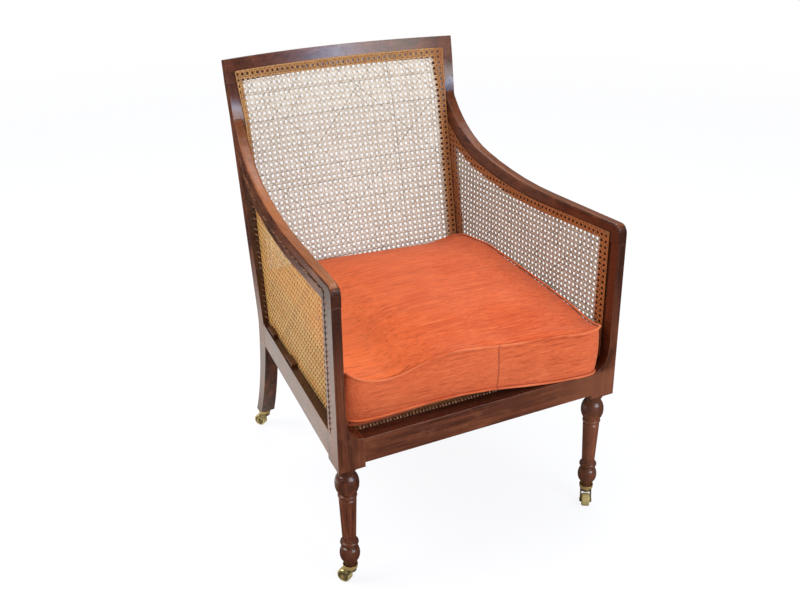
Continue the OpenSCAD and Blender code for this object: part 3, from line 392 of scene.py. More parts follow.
def ribbon(path, live, tone, closed=False):
    """Faces of ribbons given as rings of four points: path is ribbon x ring x 4 x xyz. Ring k joins ring k + 1
    where live, with a face at either end. Faces are turned so that the whole encloses a positive volume."""
    ribbons, rings = path.shape[:2]
    number = np.arange(ribbons * rings * 4).reshape(ribbons, rings, 4)
    after = np.roll(number, -1, axis=1)
    side = np.stack([number, np.roll(number, -1, 2), np.roll(after, -1, 2), after], axis=-1)
    rows, ring = np.nonzero(live)
    faces = [side[rows, ring].reshape(-1, 4)]
    turned = [np.tile([0, 0, 0, 1], len(rows))]
    shade = [np.repeat(tone[rows], 4)]
    rim = [np.tile([[1.3] * 4, [-1, 1, 1, -1]] * 2, (len(rows), 1))]
    if not closed:
        before, follow = np.pad(live, ((0, 0), (1, 0))), np.pad(live, ((0, 0), (0, 1)))
        for ends, order in ((follow & ~before, [3, 2, 1, 0]), (before & ~follow, [0, 1, 2, 3])):
            rows, ring = np.nonzero(ends)
            faces.append(number[rows, ring][:, order])
            turned.append(np.zeros(len(rows)))
            shade.append(tone[rows])
            rim.append(np.full((len(rows), 4), 1.3))
    faces = np.concatenate(faces)
    rim = np.concatenate(rim)
    points = path.reshape(-1, 3)
    corner = points[faces].transpose(1, 0, 2)
    volume = (corner[0] * (np.cross(corner[1], corner[2]) + np.cross(corner[2], corner[3]))).sum()
    if volume < 0:
        faces, rim = faces[:, ::-1], rim[:, ::-1]
    return points, faces, np.concatenate(turned), np.concatenate(shade), rim


def strands(surface, outline, starts, way, wave, face, stained):
    """Flat strands on lines start + t * way, cut to the outline. Rings stand at every quarter pitch and lie
    wave(t) in front of the surface; a ring is a trapezium whose front is the share face of its back. Each strand
    has a random tone, below 0 for the share of them that is stained."""
    t0, t1, keep = runs_inside(starts, way, outline)
    starts, t0, t1, wave_sign = starts[keep], t0[keep], t1[keep], wave[1][keep]
    step = pitch / 4
    t = (np.arange(math.floor(t0.min() / step) - 1, math.ceil(t1.max() / step) + 1) + 0.5) * step
    lift = wave_sign[:, None] * wave[0](2 * np.pi * t / pitch)[None]
    t = np.clip(t[None], t0[:, None], t1[:, None])
    size = math.hypot(*way)
    over = np.array([-0.5, -0.5 * face, 0.5 * face, 0.5]) * strand_w
    high = np.array([-0.5, 0.5, 0.5, -0.5]) * strand_t
    a = (starts[:, 0, None] + t * way[0])[..., None] - over * way[1] / size
    b = (starts[:, 1, None] + t * way[1])[..., None] + over * way[0] / size
    lot, dark, pale = (chance.random(len(starts)) for _ in range(3))
    return ribbon(surface(a, b, lift[..., None] + high), np.diff(t, axis=1) > 1e-5,
                  np.where(lot < stained, -dark, pale))


def note(mesh, label, domain, values):
    """Keeps a number for each face, corner or point of a mesh under a label."""
    mesh.attributes.new(label, "FLOAT", domain).data.foreach_set("value", np.ravel(values).astype(np.float32))


def put_in(name, mesh, finish, body):
    """A piece of the chair from its mesh."""
    mesh.validate()
    mesh.materials.append(finish)
    piece = add_object(name, mesh)
    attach(piece, body)
    return piece


def cane_piece(name, parts, finish, backed):
    """One object from several sets of ribbons. Unused points are dropped. Each face keeps its strand's random
    tone and whether it is the strand's back, each of its corners whether it lies at the strand's edge or flank,
    and each point whether wood lies behind it."""
    starts = np.cumsum([0] + [len(part[0]) for part in parts])
    points = np.concatenate([part[0] for part in parts])
    faces = np.concatenate([part[1] + start for part, start in zip(parts, starts)])
    used, place = np.unique(faces, return_inverse=True)
    points, faces = points[used], place.reshape(faces.shape)
    mesh = bpy.data.meshes.new(name)
    mesh.vertices.add(len(points))
    mesh.vertices.foreach_set("co", points.astype(np.float32).ravel())
    mesh.loops.add(faces.size)
    mesh.loops.foreach_set("vertex_index", faces.astype(np.int32).ravel())
    mesh.polygons.add(len(faces))
    mesh.polygons.foreach_set("loop_start", np.arange(0, faces.size, 4, dtype=np.int32))
    for label, domain, column in (("reverse", "FACE", 2), ("tone", "FACE", 3), ("rim", "CORNER", 4)):
        note(mesh, label, domain, np.concatenate([part[column] for part in parts]))
    note(mesh, "backed", "POINT", backed(points))
    mesh.update()
    return put_in(name, mesh, finish, "frame")


def cane_finish(name, pale, gold, outer, edge_shade=0.45, flank_shade=0.45):
    """Varnished cane, from three pairs of colours, dark and light: pale as painted light where light comes through
    the open field, gold over wood, over wood at the right redder as painted shade, and outer on the backs of the
    strands. Fibres run in it and each strand has its own tone. Painted shade darkens the strands' edges and their
    flanks, by the two last arguments."""
    cane = Finish(name, Specular_IOR_Level=0.4)
    tone, reverse, backed, rim = (cane.read(label) for label in ("tone", "reverse", "backed", "rim"))
    mottle = cane.noise((60, 60, 60))
    fibre = cane.noise((900, 900, 900), 2)
    field, golden, amber = (cane.blend(tone, *pair) for pair in (pale, gold, outer))
    # Painted shade: over wood towards the right, the gold is painted redder
    shaded = cane.parts(cane.place)[0].ramp(0.225, 0.243) * 0.75
    edge = abs(rim)
    colour = cane.coats(
        field, (backed, cane.blend(shaded, golden, (0.42, 0.135, 0.035))), (reverse * 0.92, amber),
        (mottle.ramp(0.5, 0.8) * 0.35, times(gold[0], 0.55)),
        ((tone * -1.0).ramp(0.0, 0.9) * 0.7, times(pale[0], 0.5)),
        # Painted shade on the strands' edges and flanks, where the weave shades itself
        (edge.ramp(0.50, 0.98) * (reverse * -0.15 + 1.0) * edge_shade, times(gold[0], 0.42)),
        (edge.ramp(1.05, 1.25) * flank_shade, times(gold[0], 0.16)))
    cane.wear(Base_Color=colour, Roughness=0.38 + fibre * 0.2,
              Normal=cane.bump(fibre + mottle * 0.5, 0.0001, 0.4))
    return cane.material


back_cane = cane_finish("varnished_cane", ((0.64, 0.53, 0.40), (0.97, 0.90, 0.78)),
                        ((0.54, 0.24, 0.07), (0.78, 0.44, 0.16)), ((0.50, 0.30, 0.13), (0.76, 0.54, 0.29)))
# The side cane's strand backs are amber, partly the cane's colour and partly a painted highlight; their edges and
# flanks carry strong painted shade
side_cane = cane_finish("varnished_side_cane", ((0.34, 0.265, 0.19), (0.60, 0.49, 0.375)),
                        ((0.32, 0.095, 0.026), (0.56, 0.20, 0.062)), ((0.92, 0.40, 0.085), (1.0, 0.66, 0.22)),
                        0.95, 1.0)
smoked = ((0.085, 0.032, 0.014), (0.62, 0.31, 0.165))
old_cane = cane_finish("darkened_cane", smoked, smoked, ((0.10, 0.045, 0.02), (0.30, 0.15, 0.07)), 0.6)


def weave(name, finish, surface, origin, outline, backed, node, face=0.68, cross_shift=0.0, over=0.0009):
    """Whole weave of one panel, in panel coordinates measured from a crossing of two pairs. Uprights and cross
    strands rise and sink by sines, diagonals by cosines, so that each passes over one set and under the other.
    cross_shift is how far forward the cross strands lie, over how far the diagonals rise."""
    outline = np.asarray(outline) - origin
    low, high = outline.min(axis=0), outline.max(axis=0)
    def laid(a, b, lift):
        return surface(a + origin[0], b + origin[1], lift)
    def shifted(a, b, lift):
        return laid(a, b, lift + cross_shift)
    def pairs(axis):
        first, last = math.floor(low[axis] / pitch), math.ceil(high[axis] / pitch)
        number = np.repeat(np.arange(first, last + 1), 2)
        side = np.tile([0, 1], len(number) // 2)
        starts = np.zeros((len(number), 2))
        starts[:, axis] = number * pitch + (2 * side - 1) * pair_half + chance.normal(0, pair_stray, len(number))
        return starts, (1.0 - 2 * side) * (2 * axis - 1)
    def diagonals(slope):
        reach = high[1] - low[1] + high[0] - low[0]
        number = np.arange(math.floor(-reach / pitch), math.ceil(reach / pitch) + 1)
        starts = np.zeros((len(number), 2))
        starts[:, 1] = (number + 0.5) * pitch + chance.normal(0, lone_stray, len(number))
        return starts, np.full(len(number), float(slope))
    def sine(t):
        return pair_rise * np.sin(t)
    def cosine(t):
        return over * np.cos(t)
    runs = [(laid, pairs(0), (0, 1), sine, 0.03), (shifted, pairs(1), (1, 0), sine, 0.10),
            (laid, diagonals(1), (1, 1), cosine, 0.14), (laid, diagonals(-1), (1, -1), cosine, 0.14)]
    upright, crosswise, rise, fall = (strands(place, outline, starts, way, (wave, sign), face, stained)
                                      for place, (starts, sign), way, wave, stained in runs)
    for kind, parts in (("uprights", [upright]), ("crosswise", [crosswise]), ("diagonals", [rise, fall])):
        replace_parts(cane_piece(name + "_" + kind, parts, finish, backed), node)


def run_of(path):
    """How far along a path each of its points lies."""
    return np.concatenate([[0], np.cumsum(np.hypot(*np.diff(path, axis=0).T))])


def edging(name, finish, surface, path, backed):
    """Binding strand along the panel's edge, tied down at every hole: its height swells and sinks once a pitch.
    The strip lies across the path."""
    path = np.asarray(path)
    closed = np.concatenate([path, path[:1]])
    along = run_of(closed)
    count = int(along[-1] / (pitch / 4))
    at = np.arange(count) * along[-1] / count
    a, b = (np.interp(at, along, closed[:, k]) for k in (0, 1))
    da, db = np.roll(a, -1) - np.roll(a, 1), np.roll(b, -1) - np.roll(b, 1)
    size = np.hypot(da, db)
    width, thick, clear = 0.0032, 0.0010, 0.0002
    over = np.array([-0.5, -0.3, 0.3, 0.5]) * width
    high = np.array([0.0, 1.0, 1.0, 0.0]) * thick
    tied = 0.75 + 0.25 * np.cos(2 * np.pi * at / pitch)
    rings = surface(a[:, None] - over * (db / size * tied)[:, None], b[:, None] + over * (da / size * tied)[:, None],
                    high * tied[:, None] + clear)
    strip = ribbon(rings[None], np.ones((1, count), bool), np.array([0.6]), closed=True)
    cane_piece(name, [strip], finish, backed)


def wood_behind(*reaches):
    """1 where a place reaches past a border onto wood, 0 in the open field, smooth over 4 mm."""
    return np.clip(np.maximum.reduce(reaches) / 0.004 + 0.5, 0, 1)


# Back panel: on the leaning back's plane, straight at the lower rail and bowed 50 mm at the crest rail.
back_half, back_gap = 0.249, 0.2395
bow_gap, spread, arch = 0.00115, 0.0065, 0.004
low_top, back_low, back_top = 0.0645, 0.0476, 0.5692


def back_depth(x, z):
    """How far the panel lies behind the back's plane: over the post heads the crest's parabola times its share
    of the height, and between the posts also a parabola that grows from the lower rail to the crest rail."""
    share = np.clip((z - head_low) / (head_top - head_low), 0, 1)
    grown = np.clip((z - low_top) / (head_top - low_top), 0, 1)
    edge = crest_bow * (1 - (np.maximum(abs(x), back_gap) / crest_half) ** 2)
    middle = crest_bow * (back_gap / crest_half) ** 2 * np.maximum(0, 1 - (x / back_gap) ** 2)
    clear = bow_gap * np.clip((z - low_top) / (head_low - low_top), 0, 1)
    return edge * share - clear + middle * grown


def back_surface(x, z, lift):
    return on_rake(x, back_depth(x, z) - back_off - lift, z)


def back_backed(points):
    """Wood lies behind the panel at the posts, the crest rail and the lower rail."""
    x, y, z = points.T
    up = (z - rail_top) * math.cos(rake) + (y - front_y - seat_depth) * math.sin(rake)
    return wood_behind(-x - back_gap, x - back_gap + 0.009, up - head_top - 0.003, low_top - up)


arch_x = np.linspace(back_half, -back_half, 41)
flare = [(back_half + spread * k, head_low + (back_top - head_low) * k) for k in np.linspace(0, 1, 5)]
back_line = [(-back_half, back_low), (back_half, back_low)] + flare[:-1] + [
    (x * flare[-1][0] / back_half, back_top + arch * (1 - (x / back_half) ** 2)) for x in arch_x] + [
    (-x, z) for x, z in flare[-2::-1]]
weave("back_cane", back_cane, back_surface, (0.00885, 0.54335), back_line, back_backed, "cane_back")
edging("back_cane_edge", back_cane, back_surface, back_line, back_backed)

# Side panels: in the plane of the arms' inner faces, up to a line that follows the arm's sweep.
arm_length, arm_top, joint_top = 0.62029, 0.676, 0.819
level, slow_radius, slow_turn = 0.230, 0.945, math.radians(14.8)


def stile_y(z):
    """How far behind the front rail's face the back posts' front faces stand at a height."""
    return seat_depth + (z - rail_top) * math.tan(rake)


def inner_face(y):
    """Half the width between the arms' inner faces, straight from the nose to the back post."""
    return 0.299 - 0.0475 * y / arm_length


def outer_face(y):
    return 0.319 - 0.0435 * y / arm_length


def arm_sweep():
    """The arm's top line as points and slopes: level, then an arc of large radius, then a second arc that
    meets the back post, whose radius comes from the chord that is left."""
    end = np.array([level + slow_radius * math.sin(slow_turn), arm_top + slow_radius * (1 - math.cos(slow_turn))])
    chord = np.array([arm_length, joint_top]) - end
    last = 2 * math.atan2(chord[1], chord[0]) - slow_turn
    quick = np.hypot(*chord) / (2 * math.sin((last - slow_turn) / 2))
    flat = np.linspace(0, level, 24, endpoint=False)
    slow = np.linspace(0, slow_turn, 60, endpoint=False)
    fast = np.linspace(slow_turn, last, 76)
    y = np.concatenate([flat, level + slow_radius * np.sin(slow),
                        end[0] + quick * (np.sin(fast) - math.sin(slow_turn))])
    z = np.concatenate([flat * 0 + arm_top, arm_top + slow_radius * (1 - np.cos(slow)),
                        end[1] + quick * (math.cos(slow_turn) - np.cos(fast))])
    return y, z, np.concatenate([flat * 0, slow, fast])


sweep_y, sweep_z, sweep_slope = arm_sweep()
growth = 0.010 * np.maximum(0, sweep_y - 0.054) / (arm_length - 0.054)


def below_arm(depth):
    """The arm's top line set down square to itself by a depth that grows towards the back."""
    drop = depth + growth
    return sweep_y + drop * np.sin(sweep_slope), sweep_z - drop * np.cos(sweep_slope)


cane_y, cane_z = below_arm(0.022)
under_y, under_z = below_arm(0.042)
gap = 0.0006
inside = (cane_y > 0.026) & (cane_y < stile_y(cane_z) - gap)
top_z = cane_z[inside][-1]
side_line = [(0.025, rail_top + 0.001), (0.025, arm_top - 0.022), *zip(cane_y[inside], cane_z[inside]),
             (stile_y(top_z) - gap, top_z + 0.001), (seat_depth - gap, rail_top + 0.001)]


def side_backed(points):
    """Wood lies behind the panel at the front post, the arm and the back post."""
    y, z = points[:, 1] - front_y, points[:, 2]
    return wood_behind(0.052 - y, z - np.interp(y, under_y, under_z), y - stile_y(z) + 0.026)


for name, hand in (("left", -1), ("right", 1)):
    def side_surface(y, z, lift):
        return in_chair(hand * (inner_face(y) - side_off - lift), y, z)

    weave("side_cane_" + name, side_cane, side_surface, (0.03965, 0.63705), side_line, side_backed,
          "cane_side_" + name, 0.98, -0.0004, 0.0004)
    edging("side_cane_edge_" + name, side_cane, side_surface, side_line, side_backed)

# Seat panel: under the cushion, in the rebates of the four rails, pressed a little flatter.
seat_z, binding_z, pressed = 0.3513, 0.3534, 0.9
seat_line = [(0.2625, 0.0385), (0.2625, 0.0595), (0.2875, 0.0595), (0.2345, 0.5385), (0.2345, 0.558)]
seat_line = seat_line + [(-x, y) for x, y in seat_line[::-1]]


def seat_surface(x, y, lift):
    return in_chair(x, y, seat_z + lift * pressed)


def seat_backed(points):
    """Wood lies below the panel at the rails' rebates."""
    x, y = abs(points[:, 0]), points[:, 1] - front_y
    return wood_behind(x - 0.2685 + 0.05 * y, 0.056 - y, y - 0.545)


weave("seat_cane", back_cane, seat_surface, (0.0, 0.0385), seat_line, seat_backed, "cane_seat")
edging("seat_cane_edge", back_cane, seat_surface, seat_line, seat_backed)

# ---- lacing and seat binding
# The side panels are tied through grooves in the outer faces of the arms and front posts: a short loop of old,
# dark cane comes out at each hole. The seat cane's front edge is bound with slanting loops over the rail's rebate.
def loops(name, surface, starts, ends, height, width, age):
    """One loop from each start to its end: an arch that rises by the power 0.7 of a half sine and sinks back.
    The greater the age, the darker the loops."""
    rings, thick = 7, 0.00072
    u = np.linspace(0, 1, rings)
    way = ends - starts
    size = np.hypot(*way.T)[:, None]
    a, b = (starts[:, k, None] + u * way[:, k, None] for k in (0, 1))
    over = np.array([-0.5, -0.25, 0.25, 0.5]) * width
    high = np.array([-0.5, 0.5, 0.5, -0.5]) * thick
    lift = height * np.sin(np.pi * u) ** 0.7
    path = surface(a[..., None] - over * (way[:, 1, None] / size)[..., None],
                   b[..., None] + over * (way[:, 0, None] / size)[..., None], lift[None, :, None] + high)
    live = np.ones((len(starts), rings - 1), bool)
    cane_piece(name, [ribbon(path, live, chance.random(len(starts)) ** age)], old_cane,
               lambda points: np.ones(len(points)))


groove_y, groove_deep = 0.0385, 0.0016
along_arm = (cane_y > groove_y + 0.004) & (cane_y < stile_y(cane_z) - 0.012)
groove = np.concatenate([[[groove_y, 0.362], [groove_y, arm_top - 0.024]],
                         np.column_stack([cane_y, cane_z])[along_arm]])
run = run_of(groove)
middles = np.arange(0.008, run[-1] - 0.005, 0.0118)
middles = middles + chance.normal(0, loop_stray, len(middles))


def on_groove(at):
    return np.column_stack([np.interp(at, run, groove[:, k]) for k in (0, 1)])


for name, hand in (("left", -1), ("right", 1)):
    def groove_surface(y, z, lift):
        return in_chair(hand * (outer_face(y) - groove_deep + lift), y, z)

    half_loop = 0.0040 + chance.normal(0, loop_stray / 2, len(middles))
    loops("lacing_" + name, groove_surface, on_groove(middles - half_loop), on_groove(middles + half_loop),
          0.0036, 0.0031, 1.8)

    def stile_surface(out, up, lift):
        """On the back post's front face, out from the side panel and up from the side rail."""
        y = stile_y(up + rail_top) - lift
        return in_chair(hand * (inner_face(y) + out), y, up + rail_top)

    heights = np.arange(0.012, 0.330, pitch)
    heights = heights + chance.normal(0, loop_stray, len(heights))
    feet = np.column_stack([np.full(len(heights), -0.0005), heights])
    loops("stile_lacing_" + name, stile_surface, feet, feet + [0.0062, 0.0045], 0.0024, 0.0026, 1.0)


def rebate_surface(x, y, lift):
    return in_chair(x, y, binding_z + lift)


for name, lean, shift, height in (("over", 0.0060, 0.0, 0.0034), ("under", -0.0060, 0.0035, 0.0026)):
    left_ends = np.arange(-0.258, 0.200, 0.0072) + shift
    starts = np.column_stack([left_ends, np.full(len(left_ends), 0.0325)])
    loops("seat_binding_" + name, rebate_surface, starts, starts + [lean, 0.0105], height, 0.0027, 0.5)

# ---- seat cushion
# A loose box cushion, filled firm and covered in orange-red cloth with a slubbed weave. Its two edges are piped
# with the same cloth, and one seam runs down the front. It lies a little askew, higher towards its back.
side_points = 56
seam_x = 0.038
top_crown, foot_crown, boxing_swell = 0.021, -0.0005, 0.0045
# How far the cane's front stands off the wood, and how far cover and cords keep off the cane
cane_front, cover_clear, cord_clear = 0.0026, 0.0006, 0.0030
cord_radius, flank_x = 0.0026, 0.247


def measured(table):
    """Smooth heights through measured pairs of place and height: linear between them, then averaged."""
    place, height = np.array(table).T
    t = np.linspace(place[0], place[-1], side_points + 1)
    value = np.interp(t, place, height)
    for _ in range(3):
        value[1:-1] = (value[:-2] + 2 * value[1:-1] + value[2:]) / 4
    return value / 1000


top_front = measured([(-287, 477), (-269, 468), (-258, 461), (-240, 455), (-214, 450), (-184, 449), (-146, 460),
                      (-107, 471), (-47, 477), (38, 467), (87, 462), (139, 461), (191, 457), (239, 452),
                      (262, 455), (289, 457)])
top_right = measured([(3, 457), (25, 449), (49, 446), (123, 464), (252, 481), (414, 496), (521, 486), (552, 478)])
top_back = measured([(-256, 479), (-91, 478), (53, 471), (174, 465), (227, 473), (256, 478)])
top_left = measured([(36, 477), (80, 462), (200, 474), (400, 487), (520, 483), (552, 479)])
foot_front = measured([(-284, 371), (-258, 367), (-216, 366), (-166, 370), (-110, 374), (-46, 375), (37, 370),
                       (114, 360), (170, 355), (202, 353), (257, 353), (284, 354)])


def loop(front, right, back, left, corners):
    """Closed edge of the cushion from its front left corner round to the right: four sides between the corners
    given in plan, each drawn in by a parabola, with the given heights."""
    t = np.linspace(0, 1, side_points + 1)
    sides = []
    for k, (height, draw) in enumerate(((front, 0.003), (right, 0.004), (back[::-1], 0.001), (left[::-1], 0.004))):
        start, end = np.array(corners[k]), np.array(corners[(k + 1) % 4])
        way = (end - start) / np.hypot(*(end - start))
        plan = start + t[:, None] * (end - start) + (4 * t * (1 - t) * draw)[:, None] * [-way[1], way[0]]
        sides.append(np.column_stack([plan, height])[:-1])
    line = np.concatenate(sides)
    # Rounded corners: an average over neighbours, in plan only
    for _ in range(11):
        line[:, :2] = (np.roll(line[:, :2], 1, 0) + line[:, :2] * 2 + np.roll(line[:, :2], -1, 0)) / 4
    return line


seat_flat = np.full(side_points + 1, 0.3545)
foot_side = np.linspace(0.3535, 0.3545, side_points + 1)
top_edge = loop(top_front, top_right, top_back, top_left,
                [(-0.2865, 0.034), (0.2860, 0.001), (0.2500, 0.5545), (-0.2500, 0.5545)])
foot_edge = loop(foot_front, foot_side, seat_flat, foot_side,
                 [(-0.2845, 0.042), (0.2800, -0.0020), (0.2490, 0.5325), (-0.2490, 0.5325)])


def outward(edge):
    """A closed edge's outward normals in plan, across the line between its neighbouring points."""
    way = np.roll(edge[:, :2], -1, 0) - np.roll(edge[:, :2], 1, 0)
    return np.column_stack([way[:, 1], -way[:, 0]]) / np.hypot(*way.T)[:, None]


def filled(edge, crown):
    """Grid inside a closed edge: the sum of the two ruled surfaces between opposite sides, less the plane of the
    corners, and a crown that rises steeply from the edge and is nearly flat in the middle."""
    n = side_points
    s = np.linspace(0, 1, n + 1)[None, :, None]
    t = np.linspace(0, 1, n + 1)[:, None, None]
    ring = np.concatenate([edge, edge[:1]])
    front, right = ring[:n + 1], ring[n:2 * n + 1]
    back, left = ring[2 * n:3 * n + 1][::-1], ring[3 * n:4 * n + 1][::-1]
    grid = ((1 - t) * front[None] + t * back[None] + (1 - s) * left[:, None] + s * right[:, None]
            - (1 - s) * (1 - t) * front[0] - s * (1 - t) * front[-1] - (1 - s) * t * back[0] - s * t * back[-1])
    across, along = 2 * s[..., 0] - 1, 2 * t[..., 0] - 1
    grid[..., 2] += crown * ((1 - abs(across) ** 3.2) * (1 - abs(along) ** 3.2)) ** 0.75
    return grid


def cushion_shell():
    """Points and faces of the closed cover: the crowned top, a boxing that swells between the two edges, and
    the underside. Rings of the boxing are numbered from the top edge, whose points the top's rim shares."""
    n, rows = side_points, 15
    top = filled(top_edge, top_crown)
    base = filled(foot_edge, foot_crown)
    rim = np.concatenate([np.arange(n), np.arange(n) * (n + 1) + n,
                          (n + 1) * n + np.arange(n, 0, -1), np.arange(n, 0, -1) * (n + 1)])
    v = (np.arange(1, rows) / rows)[:, None]
    swell = boxing_swell * np.sin(np.pi * v) ** 0.7
    boxing = top_edge[None] * (1 - v[..., None]) + foot_edge[None] * v[..., None]
    boxing[..., :2] += swell[..., None] * outward(top_edge)[None]
    points = np.concatenate([top.reshape(-1, 3), boxing.reshape(-1, 3), base.reshape(-1, 3)])
    square = np.arange((n + 1) ** 2).reshape(n + 1, n + 1)
    tops = np.stack([square[:-1, :-1], square[:-1, 1:], square[1:, 1:], square[1:, :-1]], -1).reshape(-1, 4)
    last = (n + 1) ** 2 + (rows - 1) * 4 * n
    ring = np.concatenate([rim[None], (n + 1) ** 2 + np.arange((rows - 1) * 4 * n).reshape(rows - 1, -1),
                           last + rim[None]])
    after = np.roll(ring, -1, axis=1)
    walls = np.stack([ring[1:], after[1:], after[:-1], ring[:-1]], -1).reshape(-1, 4)
    points[:, 1] += front_y
    return points, np.concatenate([tops, walls, last + tops[:, ::-1]]), rim, last


def cloth_mesh(name, points, faces):
    mesh = bpy.data.meshes.new(name)
    mesh.from_pydata(points.tolist(), [], faces.tolist())
    mesh.validate()
    mesh.shade_smooth()
    return mesh


def cushion_cloth(name, wear_and_highlight_share):
    """Orange-red cloth of thick uneven weft over a fine warp: slubs along X on top and front, along Y on the
    sides, paler in worn patches of noise by the share given, painted paler as painted light at the front and on
    top at the left, with painted shade on faces turned to the left panel, and the front seam drawn in, with
    painted shade along it and beside the piped edges."""
    cloth = Finish(name, Specular_IOR_Level=0.15, Sheen_Weight=0.14, Sheen_Roughness=0.5,
                   Sheen_Tint=(1.0, 0.72, 0.58, 1))
    turned = cloth.read("side")
    def threads(long, fine, detail=3.0):
        """Noise drawn out along the weft."""
        front = cloth.noise((1 / long, 1 / fine, 1 / fine), detail)
        flank = cloth.noise((1 / fine, 1 / long, 1 / fine), detail)
        return front + (flank - front) * turned
    slub = threads(0.090, 0.0009)
    streak = threads(0.200, 0.0036, 4)
    fine = threads(0.0035, 0.00045, 2)
    warp = cloth.noise((1500, 1500, 260), 1)
    x = cloth.parts(cloth.place)[0]
    sideways, forwards, upward = cloth.parts(cloth.node("ShaderNodeNewGeometry", output=3))
    front = forwards.ramp(-0.45, -0.75)
    seam = abs(x - seam_x).ramp(0.0020, 0.0004) * front
    colour = cloth.coats(
        cloth.blend(slub.ramp(0.34, 0.66), (0.48, 0.060, 0.015), (0.69, 0.120, 0.030)),
        # Painted light: faces turned to the front, and the top at the left, are painted paler
        (front * 0.16, (0.85, 0.270, 0.125)),
        (x.ramp(-0.02, -0.26) * upward.ramp(0.5, 0.8) * 0.80, (0.95, 0.185, 0.045)),
        (cloth.noise((5, 22, 22), 2).ramp(0.52, 0.34) * 0.22, (0.40, 0.050, 0.015)),
        (streak.ramp(0.54, 0.68) * 0.40, (0.84, 0.225, 0.075)),
        (streak.ramp(0.46, 0.34) * 0.60, (0.33, 0.038, 0.011)),
        (fine.ramp(0.50, 0.30) * 0.5, (0.30, 0.040, 0.014)),
        (cloth.noise((7, 7, 7)).ramp(0.30, 0.75) * wear_and_highlight_share, (0.78, 0.215, 0.088)),
        # Painted shade on faces turned to the left, in the gap beside the left side panel
        ((sideways * -1.0).ramp(0.70, 0.90) * 0.65, (0.10, 0.016, 0.006)),
        # Painted shade along the front seam and in the creases beside the piped edges
        (seam * 0.6, (0.20, 0.026, 0.010)),
        (cloth.read("piping_crease_shade").ramp(0.30, 0.80) * 0.85, (0.26, 0.030, 0.011)))
    normal = None
    for height, distance, strength in (
            (cloth.noise((9, 16, 16), 2), 0.006, 0.5),
            (slub * 0.8 + streak * 0.5 + fine * 0.5 + warp * 0.25, 0.00060, 0.75), (seam * -1.0, 0.0012, 0.8)):
        normal = cloth.bump(height, distance, strength, normal)
    cloth.wear(Base_Color=colour, Roughness=0.86 + fine * 0.1, Normal=normal)
    return cloth.material


cloth = cushion_cloth("orange_slub_cloth", 0.2)
# On the piping cord most of the cloth takes the paler colour: a painted highlight along the cord
cord_cloth = cushion_cloth("orange_cord_cloth", 0.9)
cushion_points, cushion_faces, rim, base_start = cushion_shell()


def settled(points, faces, held):
    """The cover blown up a little by its filling: a cloth simulation with pressure and no gravity, held at the
    piped edges and underneath. No point moves further than reach."""
    frames, reach = 20, 0.006
    mesh = cloth_mesh("blown", points, faces)
    blown = add_object("blown", mesh)
    blown.vertex_groups.new(name="held").add(held.tolist(), 1.0, "REPLACE")
    cover = blown.modifiers.new("cover", "CLOTH")
    for setting, value in (("quality", 6), ("mass", 0.25), ("tension_stiffness", 12),
                           ("compression_stiffness", 12), ("bending_stiffness", 0.6), ("use_pressure", True),
                           ("uniform_pressure_force", 4), ("vertex_group_mass", "held")):
        setattr(cover.settings, setting, value)
    cover.settings.effector_weights.gravity = 0
    cover.collision_settings.use_collision = False
    cover.point_cache.frame_start, cover.point_cache.frame_end = 1, frames
    for number in range(1, frames + 1):
        scene.frame_set(number)
    shape = blown.evaluated_get(bpy.context.evaluated_depsgraph_get()).to_mesh()
    moved = np.empty(len(points) * 3, np.float32)
    shape.vertices.foreach_get("co", moved)
    scene.frame_set(1)
    bpy.data.objects.remove(blown)
    bpy.data.meshes.remove(mesh)
    step = moved.reshape(-1, 3) - points
    size = np.linalg.norm(step, axis=1, keepdims=True)
    return points + step * np.minimum(1, reach / np.maximum(size, 1e-9))


kept = np.concatenate([rim, np.arange(base_start, len(cushion_points))])
cushion_points = settled(cushion_points, cushion_faces, kept)


def within_chair(points, clear):
    """Points kept clear of the cane: in front of the leaning back and between the side panels."""
    room = inner_face(points[:, 1] - front_y) - cane_front - clear
    points[:, 0] = np.clip(points[:, 0], -room, room)
    points[:, 1] = np.minimum(points[:, 1], front_y + stile_y(points[:, 2]) - cane_front - clear)
    return points


cushion_points = within_chair(cushion_points, cover_clear)
cover = cloth_mesh("cushion_cover", cushion_points, cushion_faces)
wall = abs(cushion_points[:, 0]) > flank_x
wall[: (side_points + 1) ** 2] = False
note(cover, "side", "POINT", wall)
# Painted shade in the creases beside the piped edges: the points of both edges are marked
piping_crease_shade = np.zeros(len(cushion_points))
piping_crease_shade[rim] = piping_crease_shade[base_start + rim] = 1
note(cover, "piping_crease_shade", "POINT", piping_crease_shade)
cushion = put_in("cushion_cover", cover, cloth, "cushion")
finer = cushion.modifiers.new("finer", "SUBSURF")
finer.levels = finer.render_levels = 1
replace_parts(cushion, "seat_cushion")


def cord_round(path, radius, sides=10):
    """Closed tube round a nearly level loop: each ring lies across the loop's tangent, from the outward normal
    and the vertical."""
    tangent = np.roll(path, -1, 0) - np.roll(path, 1, 0)
    tangent /= np.linalg.norm(tangent, axis=1, keepdims=True)
    out = np.cross(tangent, [0, 0, 1])
    out /= np.linalg.norm(out, axis=1, keepdims=True)
    up = np.cross(out, tangent)
    angle = np.arange(sides) / sides * 2 * np.pi
    ring = path[:, None] + radius * (np.cos(angle)[:, None] * out[:, None] + np.sin(angle)[:, None] * up[:, None])
    number = np.arange(len(path) * sides).reshape(len(path), sides)
    after, next_side = np.roll(number, -1, 0), np.roll(number, -1, 1)
    faces = np.stack([number, next_side, np.roll(after, -1, 1), after], -1).reshape(-1, 4)
    return ring.reshape(-1, 3), faces[:, ::-1]


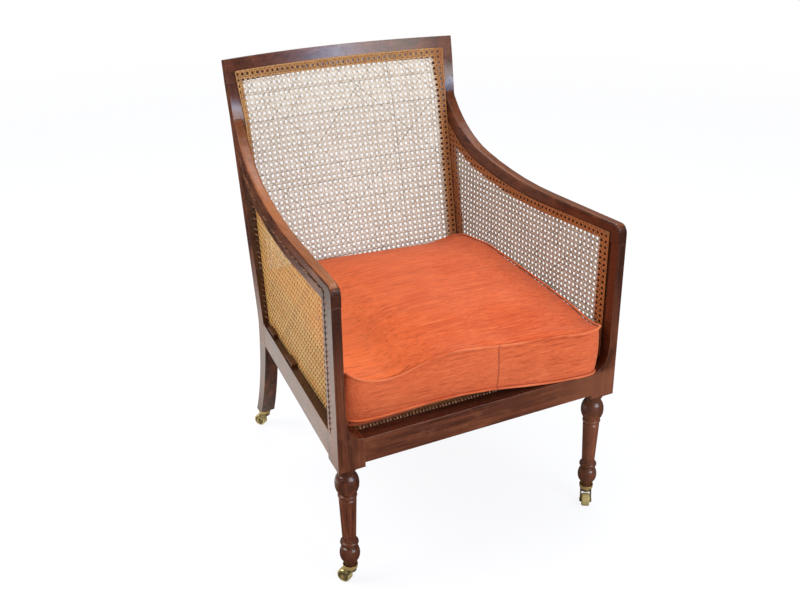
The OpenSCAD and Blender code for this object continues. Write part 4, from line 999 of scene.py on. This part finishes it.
for name, edge, push in (("top", top_edge, 0.0030), ("foot", foot_edge, 0.0016)):
    path = np.column_stack([edge[:, :2] + push * outward(edge), edge[:, 2]])
    path[:, 1] += front_y
    cord = cloth_mesh("cushion_piping_" + name, *cord_round(within_chair(path, cord_clear), cord_radius))
    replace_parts(put_in("cushion_piping_" + name, cord, cord_cloth, "cushion"), "seat_cushion")

# ---- brass casters
# Cast brass, never cleaned: dark brown in the corners and on the forks, rubbed to gold on the wheels' treads,
# the axle ends and the dishes' rims.
def old_brass(name, gold, dirt, wheel=None):
    """Metal that goes from rubbed gold to dark, dull dirt by a noise; dirt is the share of dark. On a wheel, the
    node of that name, only the tread is clean: what lies nearly its radius away from the middle of its box."""
    brass = Finish(name)
    spots = brass.noise((140, 140, 140), 4)
    marks = brass.noise((900, 900, 900), 2)
    clean = (spots + marks * 0.25).ramp(dirt + 0.02, dirt + 0.22)
    if wheel:
        low, high = (Vector(corner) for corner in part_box(wheel))
        away = brass.vector("DISTANCE", brass.place, (low + high) / 2, output=1)
        tread = away.ramp(0.45 * (high - low).z, 0.49 * (high - low).z)
        clean = clean * (tread * 0.85 + 0.15)
    soft, edge = brass.edges(0.0008, 4)
    rubbed = edge.ramp(0.998, 0.93) * (clean * 0.7 + 0.3)
    colour = brass.coats((0.035, 0.024, 0.013), (clean, gold),
                         (rubbed * 0.7, tuple(min(1.0, c) for c in times(gold, 1.35))))
    brass.wear(Base_Color=colour, Metallic=0.15 + clean * 0.35, Roughness=0.50 - clean * 0.22 + marks * 0.1,
               Normal=brass.bump(spots * 0.6 + marks, 0.00015, 0.5, soft))
    return brass.material


brass_of = {"dish": old_brass("brass_dish", (0.58, 0.40, 0.15), 0.36),
            "fork": old_brass("brass_fork", (0.34, 0.25, 0.095), 0.50),
            "axle": old_brass("brass_axle", (0.45, 0.32, 0.13), 0.40)}
for name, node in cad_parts.items():
    if name.startswith("caster_wheel"):
        put_on(node, old_brass("brass" + name[len("caster"):], (0.74, 0.58, 0.25), 0.30, name))
    elif name.startswith("caster"):
        put_on(node, brass_of[name.split("_")[1]])
